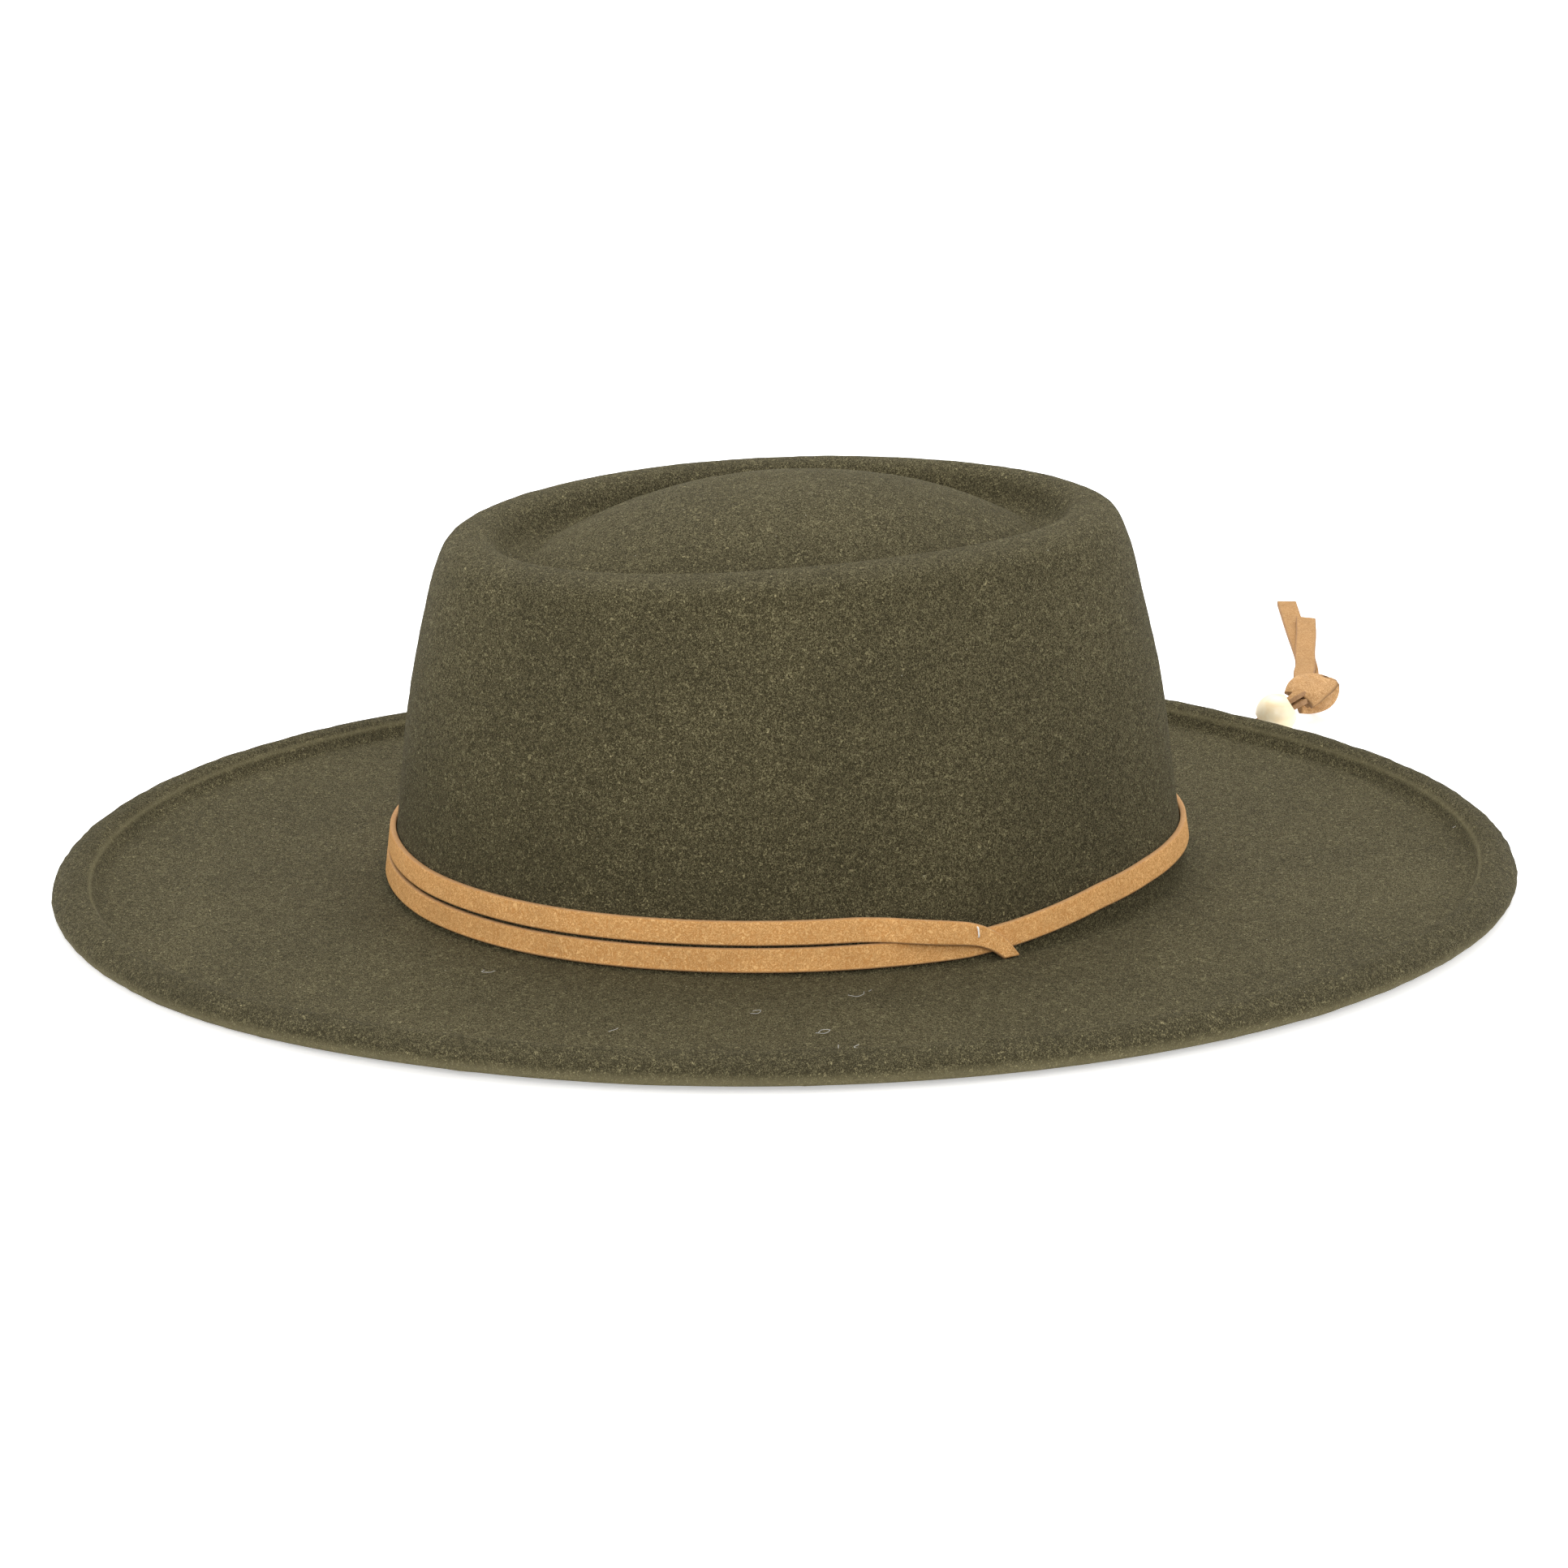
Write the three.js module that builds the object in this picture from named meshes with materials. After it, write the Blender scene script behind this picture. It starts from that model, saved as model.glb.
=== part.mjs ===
import * as THREE from 'three';

/*
 * Wool felt hat: a leaning oval crown with a rounded lip, a ring groove and a raised dome, a wide flat
 * brim with a rolled rim, a suede lace laid one and a half times round the foot of the crown, and a
 * chin cord of two suede laces that meet in a bead and a knot behind the hat.
 *
 * Millimetres, +Z up. The front of the hat looks towards -Y and the wearer's left towards +X. The
 * origin lies on the table, under the middle of the brim. Angles run from +X towards +Y in degrees.
 */

// Felt
const FELT_WALL = 2.5;
const ROUND_STEPS = 56;

// Brim, measured over its rolled rim
const BRIM_LENGTH = 378;
const BRIM_WIDTH = 333;
const RIM_WIDTH = 11.6;
const RIM_HEIGHT = 7.5;
const SIDE_LIFT = 1.3;
const EXIT_LIFT = 2.6;
const EXIT_ANGLE = 142;
const EXIT_SPREAD = 24;
const LIFT_FADE = 26;

// Crown, measured outside at its foot, with heights above the upper face of the brim
const CROWN_LENGTH = 206;
const CROWN_WIDTH = 175.4;
const FOOT_RADIUS = 2;
const LIP_HEIGHT = 91.8;
const GROOVE_HEIGHT = 83;
const GROOVE_LENGTH = 138;
const GROOVE_WIDTH = 94;
const DOME_HEIGHT = 101.6;
const DOME_FULLNESS = 2.3;
const TOP_SLOPE = 2.9;
const TOP_SIDE_RISE = 2.4;
const TOP_SHIFT = -2.5;
const TOP_EGG = 0.05;

// Suede lace of the band and the chin cord, and the room kept between touching pieces
const LACE_WIDTH = 6;
const LACE_THICKNESS = 1.5;
const LACE_CORNER = 0.35;
const SEAT = 0.3;

// Bead, knot and free ends of the chin cord
const BEAD_DIAMETER = 12.5;
const BEAD_LENGTH = 11.5;
const BEAD_BORE = 8;
const KNOT_LENGTH = 15;
const KNOT_WIDTH = 14;
const KNOT_HEIGHT = 11;
const TAIL_LEAN = 10;

const CROWN_STEPS = 15;
const DOME_STEPS = 5;
const LACE_STEPS = 58;
const JOINT_END = -8;

// Wall and lip of the crown, from the foot up and over to the groove
const crownSections = [
  { rise: 0, length: 1, width: 1 },
  { rise: 0.18, length: 0.979, width: 0.966 },
  { rise: 0.5, length: 0.946, width: 0.898 },
  { rise: 0.77, length: 0.898, width: 0.822 },
  { rise: 0.9, length: 0.868, width: 0.783 },
  { rise: 0.972, length: 0.837, width: 0.757 },
  { rise: 1, length: 0.76, width: 0.6545 },
  { rise: 0.985, length: 0.725, width: 0.6055 },
  { rise: 0.95, length: 0.706, width: 0.575 },
];

// Rolled rim from the crease on the upper face, over the roll and under to the flat underside
const rimSections = [
  { inward: 0.9, height: 0.6 },
  { inward: 0.79, height: 0.85 },
  { inward: 0.64, height: 0.985 },
  { inward: 0.46, height: 0.99 },
  { inward: 0.26, height: 0.88 },
  { inward: 0.09, height: 0.68 },
  { inward: 0.0, height: 0.43 },
  { inward: 0.05, height: 0.2 },
  { inward: 0.17, height: 0.05 },
  { inward: 0.36, height: 0.0 },
];

// Band lace: height of its lower edge above the brim in lace widths, and how far it stands off the
// lace under it in lace thicknesses. Angles fall as the lace runs from its cut tip towards the front.
const bandStations = [
  { angle: 16.6, height: 0.02, off: 1.3 },
  { angle: 14.5, height: 0.16, off: 1.25 },
  { angle: 11, height: 0.55, off: 1.25 },
  { angle: 7, height: 0.92, off: 0.9 },
  { angle: 2, height: 1.14, off: 0.1 },
  { angle: -6, height: 1.2, off: 0 },
  { angle: -54, height: 1.2, off: 0 },
  { angle: -78, height: 1.28, off: 0 },
  { angle: -98, height: 1.5, off: 0 },
  { angle: -168, height: 1.3, off: 0 },
  { angle: -218, height: 1.1, off: 0 },
  { angle: -278, height: 1.05, off: 0 },
  { angle: -303, height: 1.0, off: 0 },
  { angle: -318, height: 0.85, off: 0 },
  { angle: -331, height: 0.55, off: 0 },
  { angle: -342, height: 0.25, off: 0 },
  { angle: -350, height: 0.09, off: 0 },
  { angle: -368, height: 0.1, off: 0 },
  { angle: -414, height: 0.07, off: 0 },
  { angle: -438, height: 0.15, off: 0 },
  { angle: -458, height: 0.35, off: 0 },
  { angle: -518, height: 0.2, off: 0 },
];

// Chin cord, points chosen by hand: down the inner wall, across the table inside the hollow, under the
// brim and out to the bead and the knot behind the hat
const chinLeftPoints = [
  [80.2, 0, 22],
  [81.5, 0, 16],
  [81.5, 0, 9],
  [77.8, 0, 3.6],
  [70.5, 0, 1],
  [59.5, -1.5, 0.75],
  [44, -5, 0.75],
  [26, -6, 0.75],
  [6.2, 1.1, 0.75],
  [-12, 15.3, 0.75],
  [-29.9, 31.5, 0.75],
  [-46, 46.4, 0.75],
  [-60.8, 59.5, 0.75],
  [-78.3, 75.1, 0.75],
  [-98.1, 92.5, 0.75],
  [-114, 105.9, 0.75],
  [-124.2, 114.6, 0.75],
  [-127.4, 118.2, 0.75],
  [-128.5, 121.6, 0.75],
  [-128.2, 125.2, 0.75],
  [-124.3, 131.8, 0.75],
  [-119.7, 137, 1.3],
  [-115.3, 141.6, 2.5],
  [-110.4, 146.5, 3.1],
  [-104.9, 151.6, 3.3],
  [-100.3, 155.9, 3.8],
  [-96.7, 159.3, 4.6],
  [-89.55, 165.87, 5.79],
  [-87.05, 170.99, 7.65],
  [-84.55, 176.12, 9.5],
  [-83, 181.6, 9.3],
  [-84.1, 185.1, 8.6],
  [-86.8, 187.7, 7.7],
  [-89.5, 188.6, 7],
  [-92, 189, 6.7],
];
const chinRightPoints = [
  [-80.2, 0, 22],
  [-81.5, 0, 16],
  [-81.5, 0, 9],
  [-77.8, 0, 3.6],
  [-70.5, 0, 1],
  [-60.5, -5, 0.75],
  [-48, -18, 0.75],
  [-33, -26, 0.75],
  [-18, -25, 0.75],
  [-10, -14, 0.75],
  [-14.1, 0, 0.75],
  [-30.2, 15.3, 0.75],
  [-47.7, 34, 0.75],
  [-65.4, 54.3, 0.75],
  [-83.1, 69.7, 0.75],
  [-102.9, 87.2, 0.75],
  [-120.9, 102.4, 0.75],
  [-133.2, 113.1, 0.75],
  [-136.2, 116.4, 0.75],
  [-137.4, 120, 0.75],
  [-137.1, 123.6, 0.75],
  [-132.1, 132.3, 0.75],
  [-124.3, 141.6, 0.75],
  [-117.8, 147.6, 0.75],
  [-111.2, 151, 0.75],
  [-104.6, 154.1, 0.95],
  [-99.8, 157.2, 1.6],
  [-96.6, 159.7, 2.5],
  [-89.25, 166.48, 3.7],
  [-86.75, 171.61, 5.55],
  [-84.25, 176.73, 7.41],
  [-83, 181.6, 7],
  [-84.1, 185.1, 6.3],
  [-86.8, 187.7, 5.4],
  [-89.5, 188.6, 4.7],
  [-92, 189, 4.4],
];

// Places on the table behind the hat; the headings are the ways that the bead's bore and the knot point
const BEAD_HEADING = 64;
const BEAD_TILT = 18;
const BEAD_HEIGHT = 6.6;
const KNOT_HEADING = 172;
const beadPlace = new THREE.Vector3(-86.9, 171.3, BEAD_HEIGHT);
const knotPlace = new THREE.Vector3(-99.6, 190.0, KNOT_HEIGHT / 2);
const tailLongPoints = [
  [-107.2, 191.2, 4.6],
  [-119, 194.2, 3.2],
  [-131, 198.8, 1.6],
  [-143, 204, 0.8],
  [-160, 210.6, 0.75],
  [-190, 221.4, 0.75],
  [-222.7, 233.1, 0.75],
];
const tailShortPoints = [
  [-107, 191.9, 6.9],
  [-119, 195.2, 5.5],
  [-131, 200, 3.9],
  [-143, 205.8, 2.75],
  [-158, 212.2, 2.45],
  [-178, 221.3, 2.3],
  [-202.6, 231.9, 2.1],
];

const materials = {
  felt: new THREE.MeshStandardMaterial({ color: 0x4d4a33, roughness: 0.95, metalness: 0 }),
  lace: new THREE.MeshStandardMaterial({ color: 0xc8945a, roughness: 0.85, metalness: 0 }),
  bead: new THREE.MeshStandardMaterial({ color: 0xf0e0bc, roughness: 0.45, metalness: 0 }),
};

function radians(degrees) {
  return THREE.MathUtils.degToRad(degrees);
}

function smooth(value, low, high) {
  return THREE.MathUtils.smoothstep(value, low, high);
}

// Closed body from rings of equal length, with a single point at each end where a ring has one point
function loftGeometry(rings) {
  const positions = [];
  const starts = [];
  for (const ring of rings) {
    starts.push(positions.length / 3);
    for (const point of ring) {
      positions.push(point.x, point.y, point.z);
    }
  }
  const indices = [];
  for (let row = 0; row + 1 < rings.length; row += 1) {
    const count = Math.max(rings[row].length, rings[row + 1].length);
    for (let step = 0; step < count; step += 1) {
      const next = (step + 1) % count;
      const a = starts[row] + (rings[row].length > 1 ? step : 0);
      const b = starts[row] + (rings[row].length > 1 ? next : 0);
      const c = starts[row + 1] + (rings[row + 1].length > 1 ? step : 0);
      const d = starts[row + 1] + (rings[row + 1].length > 1 ? next : 0);
      if (a !== b) {
        indices.push(a, c, b);
      }
      if (c !== d) {
        indices.push(b, c, d);
      }
    }
  }
  const geometry = new THREE.BufferGeometry();
  geometry.setAttribute('position', new THREE.Float32BufferAttribute(positions, 3));
  geometry.setIndex(indices);
  geometry.computeVertexNormals();
  return geometry;
}

// How far the brim stands off the table: a little at the sides, more where the chin cord passes under
function brimLift(angle, outward) {
  const side = SIDE_LIFT * outward * smooth(Math.abs(Math.cos(radians(angle))), 0.3, 0.8);
  const away = Math.abs(THREE.MathUtils.euclideanModulo(angle - EXIT_ANGLE + 180, 360) - 180);
  const hump = away < EXIT_SPREAD ? Math.cos(radians(90 * away / EXIT_SPREAD)) ** 2 : 0;
  return side + hump * (EXIT_LIFT - side);
}

// Point of an oval ring on the hat; height is measured above the upper face of the brim
function ringPoint(ring, angle) {
  const turn = radians(angle);
  const share = THREE.MathUtils.clamp(ring.height / LIP_HEIGHT, 0, 1);
  const reach = ring.halfLength / (CROWN_LENGTH / 2);
  const slope = TOP_SLOPE * share * reach * Math.sin(turn);
  const rise = TOP_SIDE_RISE * share ** 4 * reach * Math.cos(turn) ** 2;
  const fade = THREE.MathUtils.clamp(1 - ring.height / LIFT_FADE, 0, 1);
  return new THREE.Vector3(
    ring.halfWidth * Math.cos(turn) * (1 - TOP_EGG * share * Math.sin(turn)),
    ring.halfLength * Math.sin(turn) + TOP_SHIFT * share,
    FELT_WALL + ring.height + slope + rise + fade * brimLift(angle, ring.outward),
  );
}

// Rings of the crown from the middle of the dome down to the foot
function crownRings() {
  const rings = [];
  for (let step = 1; step <= DOME_STEPS; step += 1) {
    const share = step / (DOME_STEPS + 0.6);
    rings.push({
      halfLength: share * GROOVE_LENGTH / 2,
      halfWidth: share * GROOVE_WIDTH / 2,
      height: GROOVE_HEIGHT + (DOME_HEIGHT - GROOVE_HEIGHT) * (1 - share ** DOME_FULLNESS),
      outward: 0,
    });
  }
  const sections = crownSections.map((section) => new THREE.Vector3(
    section.length * CROWN_LENGTH / 2,
    section.width * CROWN_WIDTH / 2,
    FOOT_RADIUS + section.rise * (LIP_HEIGHT - FOOT_RADIUS),
  ));
  sections.push(new THREE.Vector3(
    GROOVE_LENGTH / 2 + FELT_WALL,
    GROOVE_WIDTH / 2 + FELT_WALL,
    GROOVE_HEIGHT + FELT_WALL,
  ));
  sections.push(new THREE.Vector3(GROOVE_LENGTH / 2 - FELT_WALL, GROOVE_WIDTH / 2 - FELT_WALL, GROOVE_HEIGHT));
  const curve = new THREE.CatmullRomCurve3(sections, false, 'centripetal');
  const points = curve.getSpacedPoints(CROWN_STEPS).reverse();
  for (const point of points) {
    rings.push({ halfLength: point.x, halfWidth: point.y, height: point.z, outward: 0 });
  }
  return rings;
}

// Rings of the bend at the foot and of the flat brim, out to the crease of the rim
function brimRings() {
  const rings = [];
  for (const bend of [30, 60, 90]) {
    const out = FOOT_RADIUS * (1 - Math.cos(radians(bend)));
    rings.push({
      halfLength: CROWN_LENGTH / 2 + out,
      halfWidth: CROWN_WIDTH / 2 + out,
      height: FOOT_RADIUS * (1 - Math.sin(radians(bend))),
      outward: 0,
    });
  }
  for (const outward of [0.33, 0.66, 1]) {
    rings.push({
      halfLength: THREE.MathUtils.lerp(CROWN_LENGTH / 2 + FOOT_RADIUS, BRIM_LENGTH / 2 - RIM_WIDTH, outward),
      halfWidth: THREE.MathUtils.lerp(CROWN_WIDTH / 2 + FOOT_RADIUS, BRIM_WIDTH / 2 - RIM_WIDTH, outward),
      height: 0,
      outward,
    });
  }
  return rings;
}

function rimRings() {
  return rimSections.map((section) => ({
    halfLength: BRIM_LENGTH / 2 - section.inward * RIM_WIDTH,
    halfWidth: BRIM_WIDTH / 2 - section.inward * RIM_WIDTH,
    height: section.height * RIM_HEIGHT - FELT_WALL,
    outward: 1,
  }));
}

function ringVertices(ring) {
  const points = [];
  for (let step = 0; step < ROUND_STEPS; step += 1) {
    points.push(ringPoint(ring, 360 * step / ROUND_STEPS));
  }
  return points;
}

// The same surface one felt wall further in, each point moved along its own normal
function innerVertices(rows) {
  return rows.map((row, rowIndex) => row.map((point, step) => {
    const before = rows[Math.max(rowIndex - 1, 0)][step];
    const after = rows[Math.min(rowIndex + 1, rows.length - 1)][step];
    const left = row[(step + ROUND_STEPS - 1) % ROUND_STEPS];
    const right = row[(step + 1) % ROUND_STEPS];
    const down = after.clone().sub(before);
    const round = right.clone().sub(left);
    const inward = round.cross(down).normalize();
    return point.clone().addScaledVector(inward, FELT_WALL);
  }));
}

function feltBody() {
  const rings = [...crownRings(), ...brimRings()];
  const outer = rings.map(ringVertices);
  const inner = innerVertices(outer);
  const rim = rimRings().map(ringVertices);
  const top = ringPoint({ halfLength: 0, halfWidth: 0, height: DOME_HEIGHT, outward: 0 }, 0);
  const under = top.clone().setZ(top.z - FELT_WALL);
  return loftGeometry([[top], ...outer, ...rim, ...inner.reverse(), [under]]);
}

// Half length and half width of the crown's outer face at a height above the brim
const wallRings = [...crownRings(), ...brimRings()].filter((ring) => ring.outward === 0);
function wallAt(height) {
  const level = THREE.MathUtils.clamp(height, 0, LIP_HEIGHT / 2);
  let upper = wallRings[wallRings.length - 2];
  let lower = wallRings[wallRings.length - 1];
  for (let index = wallRings.length - 1; index > 0; index -= 1) {
    if (wallRings[index].height <= level) {
      lower = wallRings[index];
      upper = wallRings[index - 1];
    }
    if (wallRings[index - 1].height > level) {
      break;
    }
  }
  const share = (level - lower.height) / (upper.height - lower.height);
  return {
    halfLength: THREE.MathUtils.lerp(lower.halfLength, upper.halfLength, share),
    halfWidth: THREE.MathUtils.lerp(lower.halfWidth, upper.halfWidth, share),
    height,
    outward: 0,
  };
}

// Point that stands off the crown's wall at an angle and a height above the brim
function offWall(angle, height, distance) {
  const ring = wallAt(height);
  const turn = radians(angle);
  const normal = new THREE.Vector3(Math.cos(turn) / ring.halfWidth, Math.sin(turn) / ring.halfLength, 0);
  return ringPoint(ring, angle).addScaledVector(normal.normalize(), distance);
}

// Lace standing on its edge against the crown's wall
function bandLace() {
  const angles = bandStations.map((station) => station.angle);
  const first = angles[0];
  const last = angles[angles.length - 1];
  const stepAngle = 360 / ROUND_STEPS;
  const stops = [first];
  for (let angle = Math.ceil(first / stepAngle - 1) * stepAngle; angle > last; angle -= stepAngle) {
    stops.push(angle);
    if (angle > JOINT_END) {
      stops.push(angle - stepAngle / 2);
    }
  }
  stops.push(last);
  const rings = stops.map((angle) => {
    const index = Math.max(1, angles.findIndex((value) => value <= angle));
    const a = bandStations[index - 1];
    const b = bandStations[index];
    const share = (a.angle - angle) / (a.angle - b.angle);
    const low = THREE.MathUtils.lerp(a.height, b.height, share) * LACE_WIDTH + SEAT;
    const off = SEAT + THREE.MathUtils.lerp(a.off, b.off, share) * LACE_THICKNESS;
    const high = low + LACE_WIDTH;
    return [
      offWall(angle, low, off),
      offWall(angle, high, off),
      offWall(angle, high, off + LACE_THICKNESS),
      offWall(angle, low, off + LACE_THICKNESS),
    ];
  });
  const middle = (ring) => ring.reduce((sum, point) => sum.add(point), new THREE.Vector3()).divideScalar(4);
  return loftGeometry([[middle(rings[0])], ...rings, [middle(rings[rings.length - 1])]]);
}

// Flat section with eight corners; its width lies level where the route does
function laceSection() {
  const x = LACE_WIDTH / 2;
  const y = LACE_THICKNESS / 2;
  const shape = new THREE.Shape();
  shape.moveTo(x, -y + LACE_CORNER);
  shape.lineTo(x, y - LACE_CORNER);
  shape.lineTo(x - LACE_CORNER, y);
  shape.lineTo(-x + LACE_CORNER, y);
  shape.lineTo(-x, y - LACE_CORNER);
  shape.lineTo(-x, -y + LACE_CORNER);
  shape.lineTo(-x + LACE_CORNER, -y);
  shape.lineTo(x - LACE_CORNER, -y);
  shape.closePath();
  return shape;
}

function route(points) {
  return new THREE.CatmullRomCurve3(points.map((point) => new THREE.Vector3(...point)), false, 'centripetal');
}

function chinLace(points) {
  return new THREE.ExtrudeGeometry(laceSection(), { steps: LACE_STEPS, extrudePath: route(points) });
}

// Free end of a lace, lying flat at the knot and leaning on its neighbour by some degrees at its tip
function tailEnd(points, lean) {
  const curve = route(points);
  const rings = [];
  const steps = 3 * (points.length - 1);
  for (let step = 0; step <= steps; step += 1) {
    const point = curve.getPointAt(step / steps);
    const along = curve.getTangentAt(step / steps);
    const side = new THREE.Vector3(0, 0, 1).cross(along).normalize().multiplyScalar(LACE_WIDTH / 2);
    side.applyAxisAngle(along, radians(lean) * (step / steps) ** 2);
    const lift = along.clone().cross(side).normalize().multiplyScalar(LACE_THICKNESS / 2);
    rings.push([
      point.clone().sub(side).sub(lift),
      point.clone().sub(side).add(lift),
      point.clone().add(side).add(lift),
      point.clone().add(side).sub(lift),
    ]);
  }
  const start = curve.getPointAt(0);
  const end = curve.getPointAt(1);
  return loftGeometry([[start], ...rings, [end]]);
}

// Round bead with a bore, turned about its own axis
function sliderBead() {
  const bore = BEAD_BORE / 2;
  const radius = BEAD_DIAMETER / 2;
  const profile = [];
  const faces = 7;
  for (let step = 0; step <= faces; step += 1) {
    const along = THREE.MathUtils.lerp(-1, 1, step / faces);
    const bulge = bore + 0.4 + (radius - bore - 0.4) * Math.sqrt(1 - along ** 2);
    profile.push(new THREE.Vector2(bulge, along * BEAD_LENGTH / 2));
  }
  profile.push(new THREE.Vector2(bore, BEAD_LENGTH / 2));
  profile.push(new THREE.Vector2(bore, -BEAD_LENGTH / 2));
  profile.push(profile[0].clone());
  return new THREE.LatheGeometry(profile, 16);
}

function tailKnot() {
  const geometry = new THREE.SphereGeometry(0.5, 14, 10);
  geometry.scale(KNOT_LENGTH, KNOT_WIDTH, KNOT_HEIGHT);
  return geometry;
}

function namedMesh(name, geometry, material) {
  const mesh = new THREE.Mesh(geometry, material);
  mesh.name = name;
  return mesh;
}

const hat = new THREE.Group();
hat.add(namedMesh('felt_body', feltBody(), materials.felt));
hat.add(namedMesh('band_lace', bandLace(), materials.lace));

const chinCord = new THREE.Group();
chinCord.add(namedMesh('chin_lace_left', chinLace(chinLeftPoints), materials.lace));
chinCord.add(namedMesh('chin_lace_right', chinLace(chinRightPoints), materials.lace));
chinCord.add(namedMesh('tail_end_long', tailEnd(tailLongPoints, 0), materials.lace));
chinCord.add(namedMesh('tail_end_short', tailEnd(tailShortPoints, TAIL_LEAN), materials.lace));

const bead = namedMesh('slider_bead', sliderBead(), materials.bead);
bead.position.copy(beadPlace);
bead.rotation.order = 'ZYX';
bead.rotation.x = radians(BEAD_TILT);
bead.rotation.z = radians(BEAD_HEADING - 90);
chinCord.add(bead);

const knot = namedMesh('tail_knot', tailKnot(), materials.lace);
knot.position.copy(knotPlace);
knot.rotation.z = radians(KNOT_HEADING);
chinCord.add(knot);
hat.add(chinCord);

export default hat;
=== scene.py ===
"""Wide-brimmed wool felt hat with a suede band and a loose chin cord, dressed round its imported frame.

The felt is one profile, spun round the crown and pressed to the oval of a head. The laces are strips of
suede that are laid round the crown or along the table and then given their thickness. Sizes are in
metres, +Z is up, the front of the hat looks towards -Y and the wearer's left towards +X. Angles run from
+X towards +Y, in degrees.
"""

from __future__ import annotations

import logging
import math
from collections.abc import Sequence
from dataclasses import dataclass
from enum import Enum

import bpy
import numpy as np
from mathutils import Matrix, Vector

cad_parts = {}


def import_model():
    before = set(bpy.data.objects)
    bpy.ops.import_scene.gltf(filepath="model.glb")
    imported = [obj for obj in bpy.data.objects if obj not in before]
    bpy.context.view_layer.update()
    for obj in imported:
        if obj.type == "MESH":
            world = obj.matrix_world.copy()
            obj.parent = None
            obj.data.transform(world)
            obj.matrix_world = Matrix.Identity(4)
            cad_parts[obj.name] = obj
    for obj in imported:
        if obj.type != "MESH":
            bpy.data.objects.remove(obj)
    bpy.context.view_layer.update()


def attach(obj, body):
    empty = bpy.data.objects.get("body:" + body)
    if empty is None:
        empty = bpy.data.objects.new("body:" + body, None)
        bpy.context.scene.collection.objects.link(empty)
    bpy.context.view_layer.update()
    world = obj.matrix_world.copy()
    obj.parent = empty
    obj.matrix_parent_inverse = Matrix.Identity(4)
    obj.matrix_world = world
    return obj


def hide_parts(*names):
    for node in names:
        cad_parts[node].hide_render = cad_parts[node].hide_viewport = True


LOG = logging.getLogger("felt_hat")
BODY = "root"
MM = 0.001
# steps between two given points of a smooth line
LINE_STEPS = 24
# how far the nap's clumps bend its fibres, and the turn and stretch of its three lays
NAP_BEND = 0.006
NAP_LAYS = (
    ((0.3, 0.5, 0.2), (1.0, 0.28, 0.6)),
    ((1.4, 0.2, 0.9), (0.3, 1.0, 0.7)),
    ((0.6, 1.2, 2.1), (0.8, 0.6, 0.25)),
)

Array = np.ndarray
Material = bpy.types.Material
Piece = bpy.types.Object
Points = Sequence[Sequence[float]]
Pair = tuple[float, float]
Triple = tuple[float, float, float]
Path = tuple[Triple, ...]
Rows = tuple[tuple[float, ...], ...]


class Slot(Enum):
    """The record's material slots."""

    FELT = "felt"
    LACE = "lace"
    BEAD = "bead"


def unit(vectors: Array) -> Array:
    """Return the vectors, one a row, at length one."""
    return vectors / np.maximum(np.linalg.norm(vectors, axis=-1, keepdims=True), 1e-12)


def smooth_line(points: Points, count: int) -> Array:
    """Lay a smooth line through a few points, with equal steps along it.

    Args:
        points: The points that the line passes, of any dimension.
        count: How many points the line gets.

    Returns:
        The line's points, one a row.
    """
    given = np.array(points, float)
    padded = np.vstack([2 * given[0] - given[1], given, 2 * given[-1] - given[-2]])
    share = np.linspace(0.0, 1.0, LINE_STEPS, endpoint=False)[:, None]
    pieces = []
    for p0, p1, p2, p3 in zip(padded, padded[1:], padded[2:], padded[3:]):
        t1 = np.linalg.norm(p1 - p0) ** 0.5
        t2 = t1 + np.linalg.norm(p2 - p1) ** 0.5
        t3 = t2 + np.linalg.norm(p3 - p2) ** 0.5
        t = t1 + share * (t2 - t1)
        a1 = p0 + (p1 - p0) * t / t1
        a2 = p1 + (p2 - p1) * (t - t1) / (t2 - t1)
        a3 = p2 + (p3 - p2) * (t - t2) / (t3 - t2)
        b1 = a1 + (a2 - a1) * t / t2
        b2 = a2 + (a3 - a2) * (t - t1) / (t3 - t1)
        pieces.append(b1 + (b2 - b1) * (t - t1) / (t2 - t1))
    dense = np.vstack([*pieces, given[-1:]])
    run = np.concatenate([[0.0], np.cumsum(np.linalg.norm(np.diff(dense, axis=0), axis=1))])
    stops = np.linspace(0.0, run[-1], count)
    return np.stack([np.interp(stops, run, column) for column in dense.T], axis=1)


def length_of(line: Array) -> float:
    """Return the length of a line of points."""
    return float(np.linalg.norm(np.diff(line, axis=0), axis=1).sum())


def to_mode(name: str) -> None:
    """Put the active piece in a mode."""
    bpy.ops.object.mode_set(mode=name)


def deselect() -> None:
    """Leave edit mode and deselect everything."""
    if bpy.context.object and bpy.context.object.mode != "OBJECT":
        to_mode("OBJECT")
    bpy.ops.object.select_all(action="DESELECT")


def pick(*objects: Piece) -> None:
    """Select these objects alone, the first of them active.

    Args:
        *objects: The objects to select.
    """
    deselect()
    for each in objects:
        each.select_set(True)
    bpy.context.view_layer.objects.active = objects[0]


def apply_modifiers(piece: Piece) -> None:
    """Apply a piece's modifiers in their order.

    Args:
        piece: The piece that has them.
    """
    pick(piece)
    for modifier in list(piece.modifiers):
        bpy.ops.object.modifier_apply(modifier=modifier.name)


def put_vertices(piece: Piece, places: Array) -> None:
    """Move a mesh's vertices to places given one a row."""
    piece.data.vertices.foreach_set("co", places.astype(np.float32).ravel())
    piece.data.update()


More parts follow.
